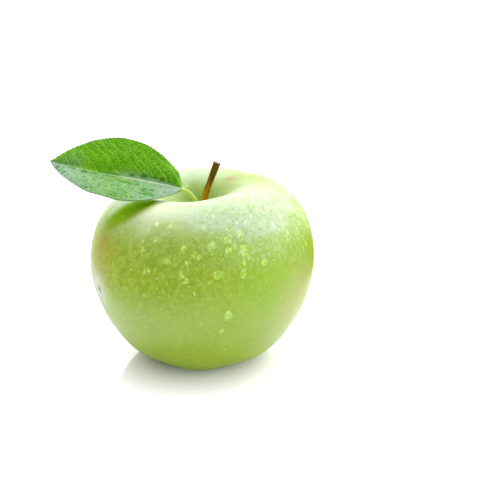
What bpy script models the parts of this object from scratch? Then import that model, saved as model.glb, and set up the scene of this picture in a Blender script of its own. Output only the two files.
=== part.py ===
"""A green apple with its stem and one leaf, in metres, +Z up, facing -Y.

The apple stands on five low feet round its basin and leans a little towards -X. The stem stands in a
plain hole in the hollow on top, the leaf's stalk comes up beside it, and the dried flower end sits in a
plain hole in the basin below. The origin is on the surface that the apple stands on, in the middle of
the object's box.
"""

import math

import bmesh
import bpy
import numpy as np
from mathutils import Vector

GAP = 0.0003

# Fruit: the radius from its centre changes with the angle down from the stem end
FRUIT_X = 0.00544
FRUIT_Y = -0.00091
MEAN_RADIUS = 0.03896
NARROWER_TOP = 0.0032
NARROWER_ENDS = 0.0011
SQUARER_SHOULDERS = 0.0015
HOLLOW_DEPTH = 0.0201
HOLLOW_SPREAD = 0.584
BASIN_DEPTH = 0.0135
BASIN_SPREAD = 0.32
LEAN = math.radians(-4.57)

# Fruit: how it differs from a turned shape, with the turn from +X at which each difference is greatest
OVAL = 0.035
OVAL_TURN = math.radians(90.6)
THREE_SIDED = 0.026
THREE_SIDED_TURN = math.radians(99.3)
HIGH_SHOULDER = 0.0005
HIGH_SHOULDER_TURN = math.radians(-81)
LOBES = 5
LOBE_TURN = math.radians(53)
SHOULDER_LOBE = 0.0003
SHOULDER_ANGLE = 0.62
FOOT = 0.0005
FOOT_ANGLE = 0.42
FOOT_FLAT = 0.0003
LEVEL_FROM = math.radians(110)
LEVEL_TO = math.radians(150)
FRUIT_TURNS = 60
HOLLOW_RINGS = 11
SIDE_RINGS = 16
BASIN_RINGS = 14
HOLLOW_TO = math.radians(36)
BASIN_FROM = math.radians(146)

# Stem, with its points from the fruit's centre
STEM_AT_FLOOR = Vector((-0.0010, 0.0, 0.0130))
STEM_TOP = Vector((0.0056, 0.0, 0.0333))
STEM_BOW = Vector((-0.0004, 0.0, 0.0))
STEM_RADIUS = 0.00105
STEM_TOP_RADIUS = 0.00140
STEM_ROUNDING = 0.0003
STEM_SUNK = 0.0045
STEM_HOLE_RADIUS = 0.0017
STEM_SIDES = 16
STEM_RINGS = 22
HOLE_SIDES = 24
HOLE_CLEARANCE = 0.003

# Leaf, with its points from the fruit's centre
BLADE_BASE = Vector((-0.0054, -0.0079, 0.0259))
BLADE_TIP = Vector((-0.0497, -0.0083, 0.0358))
RIB_BOW_LOW = Vector((0.0, 0.0016, -0.0004))
RIB_BOW_HIGH = Vector((0.0, -0.0007, -0.0011))
STALK_FOOT = Vector((-0.0009, -0.0020, 0.0160))
STALK_BEND_LOW = Vector((-0.0009, -0.0036, 0.0212))
STALK_BEND_HIGH = Vector((-0.0037, -0.0079, 0.0251))
STALK_RADIUS = 0.00075
STALK_RADIUS_AT_BLADE = 0.00062
STALK_STATIONS = 9
HALF_WIDTH = 0.0158
BASE_FULLNESS = 0.79
TIP_FULLNESS = 0.87
FAR_RISE = math.radians(41.7)
FAR_RISE_CHANGE = math.radians(-6.2)
NEAR_FALL = math.radians(10.0)
NEAR_FALL_CHANGE = math.radians(6.8)
BLADE_THICKNESS = 0.0007
BLADE_ARCH = 0.0005
TIP_RADIUS = 0.0003
RIB_ON_TOP = 0.3
TEETH = 30
TEETH_FROM = 0.10
TEETH_TO = 0.97
TOOTH_DEPTH = 0.0006
TOOTH_HOOK = 0.0003
TOOTH_POINT = 0.8
ACROSS = (0.0, 0.08, 0.25, 0.5, 0.76, 1.0)

# Calyx, the dried flower end: heights run down from the basin's floor
PLUG_RADIUS = 0.0022
PLUG_SUNK = 0.0030
CALYX_HOLE_RADIUS = 0.00258
SEPALS = 5
SEPAL_TURN = math.radians(20)
SEPAL_THICKNESS = 0.0007
SEPAL_SPREAD = 0.0006
SEPAL_CURL = 0.0020
SEPAL_RISE = 0.0046
SEPAL_DROOP = 0.0010
SEPAL_START = 0.0004
SEPAL_VALLEY = 0.12
SEPAL_SHARPNESS = 0.8
CUP_RADIUS = 0.0009
CUP_HEIGHT = 0.0006
TUFT_HEIGHT = 0.0022
CALYX_TURNS = 50
CALYX_STEPS = 5

SKIN_GREEN = (0.42, 0.60, 0.10)
STEM_BROWN = (0.13, 0.055, 0.03)
LEAF_GREEN = (0.09, 0.36, 0.03)
DRY_BROWN = (0.16, 0.09, 0.045)


def clear_scene():
    """Remove every object that the scene starts with."""
    for obj in list(bpy.data.objects):
        bpy.data.objects.remove(obj)


def principled(name, colour, roughness):
    """A plain material of one colour."""
    material = bpy.data.materials.new(name)
    material.use_nodes = True
    shader = material.node_tree.nodes["Principled BSDF"]
    shader.inputs["Base Color"].default_value = (*colour, 1.0)
    shader.inputs["Roughness"].default_value = roughness
    shader.inputs["Metallic"].default_value = 0.0
    return material


def smooth_object(name, points, faces, material):
    """One smooth-shaded object made of these points and faces, in the fruit's own frame."""
    mesh = bpy.data.meshes.new(name)
    mesh.from_pydata([tuple(point) for point in points], [], [tuple(face) for face in faces])
    mesh.validate()
    mesh.shade_smooth()
    mesh.set_sharp_from_angle(angle=math.radians(40))
    obj = bpy.data.objects.new(name, mesh)
    obj.data.materials.append(material)
    bpy.context.scene.collection.objects.link(obj)
    return obj


def closed_skin(rings, start, end):
    """Points and faces over rings of points, from the top ring down, closed by a fan at each end."""
    rows, turns = rings.shape[:2]
    points = np.vstack([start, rings.reshape(-1, 3), end])
    index = 1 + np.arange(rows * turns).reshape(rows, turns)
    after = np.roll(index, -1, axis=1)
    sides = np.stack([index[:-1], index[1:], after[1:], after[:-1]], axis=-1).reshape(-1, 4)
    top = [(0, here, there) for here, there in zip(index[0], after[0])]
    bottom = [(len(points) - 1, there, here) for here, there in zip(index[-1], after[-1])]
    return points, [*top, *sides, *bottom]


def ease(value):
    """0 below 0, 1 above 1, and a smooth rise between."""
    clipped = np.clip(value, 0.0, 1.0)
    return clipped * clipped * (3.0 - 2.0 * clipped)


def swelling(angle, width):
    """A smooth ring-shaped rise, 0 at an angle of 0 and 1 at this width."""
    ratio = (angle / width) ** 2
    return ratio * np.exp(1.0 - ratio)


def upper_share(polar):
    """1 over the upper fruit and 0 at its feet, which stay level under the leaning fruit."""
    return ease((LEVEL_TO - polar) / (LEVEL_TO - LEVEL_FROM))


def fruit_radius(polar, turn):
    """Distance from the fruit's centre, at an angle from the stem end and a turn from +X."""
    radius = MEAN_RADIUS - NARROWER_TOP * np.cos(polar)
    radius = radius - NARROWER_ENDS * np.cos(2 * polar) - SQUARER_SHOULDERS * np.cos(3 * polar)
    uneven = OVAL * np.sin(polar) ** 2 * np.cos(2 * (turn - OVAL_TURN))
    uneven = uneven + THREE_SIDED * np.sin(polar) ** 3 * np.cos(3 * (turn - THREE_SIDED_TURN))
    radius = radius * (1.0 + uneven * upper_share(polar))
    shoulder = HIGH_SHOULDER * np.cos(turn - HIGH_SHOULDER_TURN)
    shoulder = shoulder - SHOULDER_LOBE * np.cos(LOBES * (turn - LOBE_TURN))
    radius = radius + shoulder * swelling(polar, SHOULDER_ANGLE)
    radius = radius + FOOT * np.cos(LOBES * (turn - LOBE_TURN)) * swelling(math.pi - polar, FOOT_ANGLE)
    radius = radius - HOLLOW_DEPTH * np.exp(-((polar / HOLLOW_SPREAD) ** 2))
    return radius - BASIN_DEPTH * np.exp(-(((math.pi - polar) / BASIN_SPREAD) ** 2))


def fruit_point(polar, turn):
    """A point of the leaning fruit, from its centre."""
    polar, turn = np.broadcast_arrays(polar, turn)
    radius = fruit_radius(polar, turn)
    out = radius * np.sin(polar)
    x, y, z = out * np.cos(turn), out * np.sin(turn), radius * np.cos(polar)
    lean = LEAN * upper_share(polar)
    return np.stack([x * np.cos(lean) + z * np.sin(lean), y, z * np.cos(lean) - x * np.sin(lean)], axis=-1)


def fruit_rings():
    """Rings of points down the fruit, closer together over the hollow's rim and at the feet."""
    polar = np.concatenate([
        np.linspace(0.0, HOLLOW_TO, HOLLOW_RINGS, endpoint=False)[1:],
        np.linspace(HOLLOW_TO, BASIN_FROM, SIDE_RINGS, endpoint=False),
        np.linspace(BASIN_FROM, math.pi, BASIN_RINGS, endpoint=False),
    ])
    turn = np.linspace(0.0, 2 * math.pi, FRUIT_TURNS, endpoint=False)
    return fruit_point(polar[:, None], turn[None, :])


def floor_level(rings):
    """The height of the surface under the fruit, from its centre: the feet are pressed flat on it."""
    return rings[..., 2].min() + FOOT_FLAT


def make_fruit(rings, material):
    """The fruit with its feet pressed flat."""
    rings = rings.copy()
    rings[..., 2] = np.maximum(rings[..., 2], floor_level(rings))
    points, faces = closed_skin(rings, fruit_point(0.0, 0.0), fruit_point(math.pi, 0.0))
    return smooth_object("fruit", points, faces, material)


def cut_hole(fruit, name, radius, deep_end, open_end):
    """Cut a plain round hole between these two points, which run from the fruit's centre."""
    along = open_end - deep_end
    mesh = bpy.data.meshes.new(name)
    shape = bmesh.new()
    bmesh.ops.create_cone(shape, cap_ends=True, segments=HOLE_SIDES, radius1=radius, radius2=radius,
                          depth=along.length)
    shape.to_mesh(mesh)
    shape.free()
    cutter = bpy.data.objects.new(name, mesh)
    bpy.context.scene.collection.objects.link(cutter)
    cutter.parent = fruit
    cutter.location = (deep_end + open_end) / 2
    cutter.rotation_euler = along.to_track_quat("Z", "Y").to_euler()
    cutter.hide_render = True
    cutter.display_type = "WIRE"
    cut = fruit.modifiers.new(name, "BOOLEAN")
    cut.operation = "DIFFERENCE"
    cut.object = cutter


def stem_line():
    """The direction of the stem and its foot, sunk below the hollow's floor."""
    direction = (STEM_TOP - STEM_AT_FLOOR).normalized()
    return direction, STEM_AT_FLOOR - direction * STEM_SUNK


def make_stem(material):
    """The stem: slim, a little bowed, flared at its cut top."""
    direction, foot = stem_line()
    side = Vector((0.0, 1.0, 0.0)).cross(direction)
    across = direction.cross(side)
    turn = np.linspace(0.0, 2 * math.pi, STEM_SIDES, endpoint=False)[:, None]
    rings = []
    for share in np.linspace(1.0, 0.0, STEM_RINGS):
        flare = STEM_TOP_RADIUS - STEM_RADIUS
        radius = STEM_RADIUS + flare * (share ** 9 + 0.15 * math.sin(9 * share) ** 2)
        centre = foot.lerp(STEM_TOP, share) + STEM_BOW * math.sin(math.pi * share)
        rings.append(np.array(centre) + radius * (np.cos(turn) * side + np.sin(turn) * across))
    inner = np.array(STEM_TOP) + 0.7 * (rings[0] - np.array(STEM_TOP)) + np.array(direction * STEM_ROUNDING)
    rings = np.array([inner, *rings])
    points, faces = closed_skin(rings, STEM_TOP + direction * STEM_ROUNDING / 2, foot)
    return smooth_object("stem", points, faces, material)


def bezier(points, share):
    """Points at these shares of a curve with four control points."""
    share = np.asarray(share)[:, None]
    start, first, second, end = (np.array(point) for point in points)
    back = 1.0 - share
    return back ** 3 * start + 3 * share * back ** 2 * first + 3 * share ** 2 * back * second + share ** 3 * end


def blade_stations():
    """Shares of the blade's length and how far each tooth has risen there, from 0 in a notch to 1."""
    plain = [0.0, 0.02, 0.045, 0.07]
    stations = [(share, 0.0) for share in plain]
    pitch = (TEETH_TO - TEETH_FROM) / TEETH
    for tooth in range(TEETH):
        start = TEETH_FROM + pitch * tooth
        stations += [(start + pitch * part, (part / TOOTH_POINT) ** 0.8) for part in (0.0, 0.4, TOOTH_POINT)]
    stations += [(TEETH_TO, 0.0), (1.0, 0.0)]
    return np.array(stations).T


def blade_half_width(share):
    """Half the blade's width between the tooth points: an oval that narrows to the tip."""
    widest = BASE_FULLNESS / (BASE_FULLNESS + TIP_FULLNESS)
    return HALF_WIDTH * (share / widest) ** BASE_FULLNESS * ((1 - share) / (1 - widest)) ** TIP_FULLNESS


def leaf_line(share):
    """Points along the stalk and then the blade's rib."""
    run = BLADE_TIP - BLADE_BASE
    stalk = (STALK_FOOT, STALK_BEND_LOW, STALK_BEND_HIGH, BLADE_BASE)
    rib = (BLADE_BASE, BLADE_BASE + run / 3 + RIB_BOW_LOW, BLADE_BASE + run * 2 / 3 + RIB_BOW_HIGH, BLADE_TIP)
    steps = np.linspace(0.0, 1.0, STALK_STATIONS, endpoint=False)
    return np.vstack([bezier(stalk, steps), bezier(rib, share)])


def unit(vectors):
    """The same directions with a length of 1."""
    return vectors / np.linalg.norm(vectors, axis=-1, keepdims=True)


def leaf_sheet(line, share, rise):
    """The leaf's middle surface as a grid of points, along the line and from the near edge to the far."""
    along = unit(np.gradient(line, axis=0))
    far = unit(np.array([0.0, 1.0, 0.0]) - along[:, 1:2] * along)
    up = np.cross(far, along)
    stalk = np.linspace(STALK_RADIUS, STALK_RADIUS_AT_BLADE, STALK_STATIONS)
    blade = blade_half_width(share)
    depth = TOOTH_DEPTH * ease(share / 0.15) * ease((1 - share) / 0.08)
    edge = np.where(share < TEETH_FROM, 0.0, depth * (1 - rise))
    core = STALK_RADIUS_AT_BLADE + (TIP_RADIUS - STALK_RADIUS_AT_BLADE) * share
    width = np.concatenate([stalk, np.hypot(blade - edge, core)])
    full = np.concatenate([stalk, np.hypot(blade, core)])
    hook = np.concatenate([0 * stalk, TOOTH_HOOK * rise * (depth > 0)])
    opened = np.concatenate([0 * stalk, ease(share / 0.08)])
    middle = np.concatenate([0 * stalk, share]) - 0.5
    sides = np.array([*(-step for step in reversed(ACROSS[1:])), *ACROSS])
    rows = []
    for step in sides:
        angle = FAR_RISE + FAR_RISE_CHANGE * middle if step > 0 else -NEAR_FALL - NEAR_FALL_CHANGE * middle
        angle = (angle * opened)[:, None]
        reach = np.where(abs(step) == 1.0, width, full * abs(step) - (full - width) * abs(step) ** 6)[:, None]
        out = far * np.cos(angle) + up * np.sin(angle) * np.sign(step)
        arch = BLADE_ARCH * 4 * abs(step) * (1 - abs(step)) * opened[:, None]
        lift = up * np.cos(angle) - far * np.sin(angle) * np.sign(step)
        rows.append(line + np.sign(step) * out * reach + lift * arch + along * (hook * abs(step) ** 8)[:, None])
    return np.stack(rows, axis=1), sides, width, opened


def make_leaf(material):
    """The leaf: a toothed blade folded along its rib, thicker at the rib, and its round stalk."""
    share, rise = blade_stations()
    line = leaf_line(share)
    sheet, sides, width, opened = leaf_sheet(line, share, rise)
    normal = unit(np.cross(np.gradient(sheet, axis=1), np.gradient(sheet, axis=0)))
    stalk = np.linspace(STALK_RADIUS, STALK_RADIUS_AT_BLADE, STALK_STATIONS)
    half = BLADE_THICKNESS / 2
    rib = np.concatenate([stalk, half + (STALK_RADIUS_AT_BLADE - half) * (1 - share)])[:, None]
    distance = np.abs(sides) * width[:, None]
    bulge = (rib - half) * np.exp(-((distance / (1.4 * rib)) ** 2))
    roundness = rib * np.sqrt(1 - 0.97 * sides ** 2)
    opened = opened[:, None]
    above = opened * (half + RIB_ON_TOP * bulge) + (1 - opened) * roundness
    below = opened * (half + bulge) + (1 - opened) * roundness
    points, faces = sheet_solid(sheet + normal * above[..., None], sheet - normal * below[..., None])
    return smooth_object("leaf", points, faces, material)


def sheet_solid(top, bottom):
    """A closed solid between two like grids of points, both split into the same triangles."""
    rows, columns = top.shape[:2]
    upper = np.arange(rows * columns).reshape(rows, columns)
    lower = upper + rows * columns
    faces = []
    for row in range(rows - 1):
        for column in range(columns - 1):
            near, far = (row, column), (row, column + 1)
            near_next, far_next = (row + 1, column), (row + 1, column + 1)
            faces += [(upper[near], upper[far], upper[far_next]), (upper[near], upper[far_next], upper[near_next])]
            faces += [(lower[near], lower[far_next], lower[far]), (lower[near], lower[near_next], lower[far_next])]
    rim = [*upper[:, 0], *upper[-1, 1:], *upper[-2::-1, -1], *upper[0, -2:0:-1]]
    under = rows * columns
    for here, there in zip(rim, [*rim[1:], rim[0]]):
        faces.append((here, there, there + under, here + under))
    return np.vstack([top.reshape(-1, 3), bottom.reshape(-1, 3)]), faces


def calyx_profile(length):
    """Distance from the calyx's axis, height and outward direction along a sepal, at shares of its length."""
    out = PLUG_RADIUS - SEPAL_THICKNESS / 2 + SEPAL_SPREAD * length + SEPAL_CURL * length ** 3
    height = SEPAL_START + SEPAL_RISE * length - SEPAL_DROOP * length ** 3
    slope = np.stack([SEPAL_RISE - 3 * SEPAL_DROOP * length ** 2, -SEPAL_SPREAD - 3 * SEPAL_CURL * length ** 2], -1)
    return out, height, unit(slope)


def make_calyx(basin_floor, material):
    """The dried flower end: a plug with five pointed sepals round a small tuft, one grown piece."""
    turn = np.linspace(0.0, 2 * math.pi, CALYX_TURNS, endpoint=False)
    spacing = 2 * math.pi / SEPALS
    off_middle = np.abs((turn - SEPAL_TURN + spacing / 2) % spacing - spacing / 2) / (spacing / 2)
    length = SEPAL_VALLEY + (1 - SEPAL_VALLEY) * (1 - off_middle) ** SEPAL_SHARPNESS
    outline = [(0 * turn + PLUG_RADIUS, 0 * turn - PLUG_SUNK), (0 * turn + PLUG_RADIUS, 0 * turn)]
    steps = np.linspace(0.0, 1.0, CALYX_STEPS)
    for side, shares in ((1.0, steps), (-1.0, steps[::-1])):
        for share in shares:
            out, height, outward = calyx_profile(length * share)
            offset = side * SEPAL_THICKNESS / 2 * outward
            outline.append((out + offset[:, 0], height + offset[:, 1]))
    outline.append((0 * turn + CUP_RADIUS, 0 * turn + CUP_HEIGHT))
    rings = np.array([
        np.array(basin_floor) + np.stack([out * np.cos(turn), out * np.sin(turn), -height], axis=-1)
        for out, height in outline
    ])
    start = basin_floor + Vector((0.0, 0.0, PLUG_SUNK))
    end = basin_floor - Vector((0.0, 0.0, TUFT_HEIGHT))
    points, faces = closed_skin(rings, start, end)
    return smooth_object("calyx", points, faces, material)


def main():
    """Build the four pieces and stand them on the surface."""
    clear_scene()
    rings = fruit_rings()
    basin_floor = Vector(fruit_point(math.pi, 0.0))
    direction, stem_foot = stem_line()
    fruit = make_fruit(rings, principled("apple_skin", SKIN_GREEN, 0.35))
    cut_hole(fruit, "stem_hole", STEM_HOLE_RADIUS, stem_foot - direction * GAP,
             STEM_AT_FLOOR + direction * HOLE_CLEARANCE)
    cut_hole(fruit, "calyx_hole", CALYX_HOLE_RADIUS, basin_floor + Vector((0, 0, PLUG_SUNK + GAP)),
             basin_floor - Vector((0, 0, HOLE_CLEARANCE)))
    pieces = (
        fruit,
        make_stem(principled("stem_bark", STEM_BROWN, 0.7)),
        make_leaf(principled("leaf_green", LEAF_GREEN, 0.45)),
        make_calyx(basin_floor, principled("calyx_dry", DRY_BROWN, 0.85)),
    )
    for piece in pieces:
        piece.location = (FRUIT_X, FRUIT_Y, -floor_level(rings))


main()
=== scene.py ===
"""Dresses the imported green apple: skin, stem, leaf, dried flower end and the water on them."""

import logging
import math
from dataclasses import dataclass, field
from enum import Enum

import bpy
import numpy as np
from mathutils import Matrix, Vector


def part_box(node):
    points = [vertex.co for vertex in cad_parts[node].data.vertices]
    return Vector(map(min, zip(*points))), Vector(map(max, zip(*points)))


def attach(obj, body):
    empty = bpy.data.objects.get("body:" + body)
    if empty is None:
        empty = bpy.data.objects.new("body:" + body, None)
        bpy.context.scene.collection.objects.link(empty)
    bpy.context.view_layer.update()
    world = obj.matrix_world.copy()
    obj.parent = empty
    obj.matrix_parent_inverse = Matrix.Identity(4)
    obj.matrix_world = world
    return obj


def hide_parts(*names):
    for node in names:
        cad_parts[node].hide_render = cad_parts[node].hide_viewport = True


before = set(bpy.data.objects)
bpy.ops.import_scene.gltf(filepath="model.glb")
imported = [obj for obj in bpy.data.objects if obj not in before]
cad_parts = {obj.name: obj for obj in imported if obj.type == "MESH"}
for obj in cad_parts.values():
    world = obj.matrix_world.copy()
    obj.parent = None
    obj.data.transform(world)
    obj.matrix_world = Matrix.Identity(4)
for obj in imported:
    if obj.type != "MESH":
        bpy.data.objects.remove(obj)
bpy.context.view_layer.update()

Array = np.ndarray
Socket = bpy.types.NodeSocket
Material = bpy.types.Material
Object = bpy.types.Object
LOG = logging.getLogger("green_apple")
BODY = "root"
FRAME_PIXELS = 500
PIXELS_PER_METRE = 2790
FULL_TURN = 2 * math.pi


class Slot(Enum):
    """Names of material slots."""

    SKIN = "apple_skin"
    STEM = "stem_bark"
    LEAF = "leaf_green"
    CALYX = "calyx_dry"


class Place(Enum):
    """The skin's marks, some of them painted light and painted reflections. Each value is the name of its
    mask.
    """

    BLUSH = "blush"
    PAINTED_SIDE_REFLECTION = "painted_side_reflection"
    RUSSET = "russet"
    SCAR = "scar"
    PAINTED_LIGHT = "painted_light"
    GLARE = "painted_left_gleam"


def ease(value: Array | float) -> Array:
    """Rise smoothly from 0 below 0 to 1 above 1, by 3 v squared minus 2 v cubed."""
    held = np.clip(value, 0.0, 1.0)
    return held * held * (3.0 - 2.0 * held)


def zone(value: Array, start: float, rise: float, end: float | Array, fall: float) -> Array:
    """Rise smoothly after one value and fall back to 0 before another.

    Args:
        value: Where.
        start: The value that the rise starts from.
        rise: How long the rise is.
        end: The value that the fall ends at.
        fall: How long the fall is.

    Returns:
        0 outside, and 1 between the rise and the fall.
    """
    return ease((value - start) / rise) * ease((end - value) / fall)


def bell(value: Array, width: float | Array) -> Array:
    """A bell curve: 1 where the value is 0, and 1 over e where it is one width."""
    return np.exp(-((value / width) ** 2))


def wrap(turn: Array) -> Array:
    """The same turn, counted from minus half a turn to half a turn."""
    return (turn + math.pi) % FULL_TURN - math.pi


def around(count: int) -> Array:
    """Even steps round a full turn, the first at 0."""
    return np.linspace(0.0, FULL_TURN, count, endpoint=False)


def unit(vectors: Array) -> Array:
    """The same directions, each with a length of 1. The last axis is x, y, z."""
    return vectors / np.maximum(np.linalg.norm(vectors, axis=-1, keepdims=True), 1e-12)


def ripple(points: Array, wavelength: float, seed: int, waves: int = 14) -> Array:
    """Smooth unevenness in space: the sum of a few plane waves in random directions.

    Args:
        points: Where, in metres, with x, y, z on the last axis.
        wavelength: The middle wavelength in metres.
        seed: Which draw of directions and phases.
        waves: How many waves.

    Returns:
        Values of about -1 to 1, one for each point.
    """
    draw = np.random.default_rng(seed)
    directions = unit(draw.normal(size=(waves, 3)))
    lengths = wavelength * draw.uniform(0.6, 1.6, waves)
    phases = draw.uniform(0.0, FULL_TURN, waves)
    total = np.zeros(points.shape[:-1])
    for direction, length, phase in zip(directions, lengths, phases):
        total += np.sin(points @ direction * FULL_TURN / length + phase)
    return total / math.sqrt(waves)


def bezier(controls: Array, share: Array) -> Array:
    """Points of a curve with four control points.

    Args:
        controls: The four points, in metres.
        share: How far along, from 0 to 1.

    Returns:
        The cubic Bernstein mix of the four points, one row for each share.
    """
    s = share[:, None]
    weights = ((1 - s) ** 3, 3 * s * (1 - s) ** 2, 3 * s ** 2 * (1 - s), s ** 3)
    return sum(weight * point for weight, point in zip(weights, controls))


def new_object(name: str, points: Array, faces: list, marks: dict[str, Array]) -> Object:
    """Make a smooth mesh object at the origin, with its place in its mesh.

    Args:
        name: The object's name.
        points: Vertices in metres, one row each.
        faces: Rows of vertex numbers, counted anticlockwise from outside.
        marks: Per-vertex attributes: a float each, or a vector each where rows have three numbers.

    Returns:
        The object, linked to the scene.
    """
    mesh = bpy.data.meshes.new(name)
    mesh.from_pydata(points.tolist(), [], faces)
    for label, values in marks.items():
        kind, key = ("FLOAT_VECTOR", "vector") if values.ndim == 2 else ("FLOAT", "value")
        layer = mesh.attributes.new(label, kind, "POINT")
        layer.data.foreach_set(key, np.ascontiguousarray(values, np.float32).ravel())
    mesh.shade_smooth()
    mesh.update()
    obj = bpy.data.objects.new(name, mesh)
    bpy.context.scene.collection.objects.link(obj)
    return obj


def closed_rings(rings: Array, start: Array, end: Array) -> tuple[Array, list]:
    """Close rings of points, from the top ring down, with a fan to a point at each end.

    Args:
        rings: Points by ring, turn and x, y, z.
        start: The pole above the first ring.
        end: The pole below the last ring.

    Returns:
        The vertices (start, the rings row by row, end) and the faces.
    """
    rows, turns = rings.shape[:2]
    points = np.vstack([start, rings.reshape(-1, 3), end])
    index = 1 + np.arange(rows * turns).reshape(rows, turns)
    after = np.roll(index, -1, axis=1)
    sides = np.stack([index[:-1], index[1:], after[1:], after[:-1]], axis=-1).reshape(-1, 4)
    top = np.stack([np.zeros(turns, int), index[0], after[0]], axis=-1)
    bottom = np.stack([np.full(turns, len(points) - 1), after[-1], index[-1]], axis=-1)
    return points, [*top.tolist(), *sides.tolist(), *bottom.tolist()]


def quads(index: Array) -> Array:
    """Faces between the neighbours in a grid of vertex numbers."""
    corners = [index[:-1, :-1], index[:-1, 1:], index[1:, 1:], index[1:, :-1]]
    return np.stack(corners, axis=-1).reshape(-1, 4)


def closed_sheet(top: Array, bottom: Array) -> tuple[Array, list]:
    """Close two like grids of points into a thin solid, with a wall round their rim.

    Args:
        top: The upper grid, by row, column and x, y, z.
        bottom: The lower grid, of the same shape.

    Returns:
        The vertices (the upper grid, then the lower) and the faces.
    """
    rows, columns = top.shape[:2]
    upper = np.arange(rows * columns).reshape(rows, columns)
    under = rows * columns
    faces = quads(upper)
    rim = np.concatenate([upper[:, 0], upper[-1, 1:], upper[-2::-1, -1], upper[0, -2:0:-1]])
    onward = np.roll(rim, -1)
    wall = np.stack([rim, onward, onward + under, rim + under], axis=-1)
    points = np.vstack([top.reshape(-1, 3), bottom.reshape(-1, 3)])
    return points, [*faces.tolist(), *(faces[:, ::-1] + under).tolist(), *wall.tolist()]


@dataclass
class Nodes:
    """A tree of nodes under construction, with short calls for the ones that are used here."""

    tree: bpy.types.NodeTree

    def put(self, kind: str, feeds: dict | None = None, **settings: object) -> bpy.types.Node:
        """Add a node.

        Args:
            kind: The node's class name after ShaderNode.
            feeds: What goes into its sockets, by their names or numbers.
            settings: Properties to set on it first.

        Returns:
            The node.
        """
        node = self.tree.nodes.new("ShaderNode" + kind)
        for key, value in settings.items():
            setattr(node, key, value)
        for key, value in (feeds or {}).items():
            self.feed(node.inputs[key], value)
        return node

    def feed(self, socket: Socket, value: object) -> None:
        """Link another socket to this input, or set its value.

        Args:
            socket: The input.
            value: An output socket, a number, a vector or a colour.
        """
        if isinstance(value, Socket):
            self.tree.links.new(value, socket)
        elif socket.type == "RGBA":
            socket.default_value = (*value, 1.0)
        else:
            socket.default_value = value

    def fit(self, value: object, low: float, high: float,
            to_low: float = 0.0, to_high: float = 1.0) -> Socket:
        """Stretch the range from low to high smoothly onto another, held at its ends."""
        feeds = {"Value": value, "From Min": low, "From Max": high, "To Min": to_low, "To Max": to_high}
        return self.put("MapRange", feeds, interpolation_type="SMOOTHSTEP").outputs["Result"]

    def join(self, operation: str, first: object, second: object) -> Socket:
        """Make one number of two by a Math node's operation, such as POWER."""
        return self.put("Math", {0: first, 1: second}, operation=operation).outputs[0]

    def times(self, first: object, second: object) -> Socket:
        """The product of two numbers."""
        return self.join("MULTIPLY", first, second)

    def plus(self, first: object, second: object) -> Socket:
        """The sum of two numbers."""
        return self.join("ADD", first, second)

    def most(self, first: object, second: object) -> Socket:
        """The greater of two numbers."""
        return self.join("MAXIMUM", first, second)


class Recipe(Nodes):
    """A material under construction: its shader, and the colour that is laid on it so far."""

    def __init__(self, name: str) -> None:
        """Make the material with its Principled shader."""
        self.material = bpy.data.materials.new(name)
        self.material.use_nodes = True
        super().__init__(self.material.node_tree)
        self.shader = self.tree.nodes["Principled BSDF"]
        self.colour = None

    def mark(self, label: str, output: str = "Fac") -> Socket:
        """Read a per-vertex attribute, as a number or by its Vector output."""
        return self.put("Attribute", attribute_name=label).outputs[output]

    def place(self) -> Socket:
        """The object's own coordinates, in metres."""
        return self.put("TexCoord").outputs["Object"]

    def noise(self, where: Socket, scale: float, detail: float, rough: float) -> Socket:
        """Soft noise of about 0 to 1, by its features per unit of the coordinates, octaves and roughness."""
        feeds = {"Vector": where, "Scale": scale, "Detail": detail, "Roughness": rough}
        return self.put("TexNoise", feeds).outputs["Fac"]

    def cells(self, where: Socket, scale: float, feature: str) -> bpy.types.Node:
        """Cells: under F1 the distance to the nearest point, under DISTANCE_TO_EDGE the net between them."""
        return self.put("TexVoronoi", {"Vector": where, "Scale": scale}, feature=feature)

    def blend(self, share: object, first: object, second: object) -> Socket:
        """Mix two colours, the first where the share is 0 and the second where it is 1."""
        return self.put("Mix", {0: share, 6: first, 7: second}, data_type="RGBA").outputs[2]

    def coat(self, share: object, tint: object) -> None:
        """Lay a tint over the colour so far. The share is a socket, or the name of an attribute."""
        cover = self.mark(share) if isinstance(share, str) else share
        self.colour = self.blend(cover, self.colour, tint)

    def bump(self, height: object, distance: float, strength: float) -> Socket:
        """Relief that is too fine for the mesh. The distance is what a height of 1 stands for, in metres."""
        feeds = {"Height": height, "Distance": distance, "Strength": strength}
        return self.put("Bump", feeds).outputs["Normal"]

    def set(self, **values: object) -> None:
        """Feed the shader's sockets, whose names have underscores for spaces here."""
        for key, value in values.items():
            self.feed(self.shader.inputs[key.replace("_", " ")], value)


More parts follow.
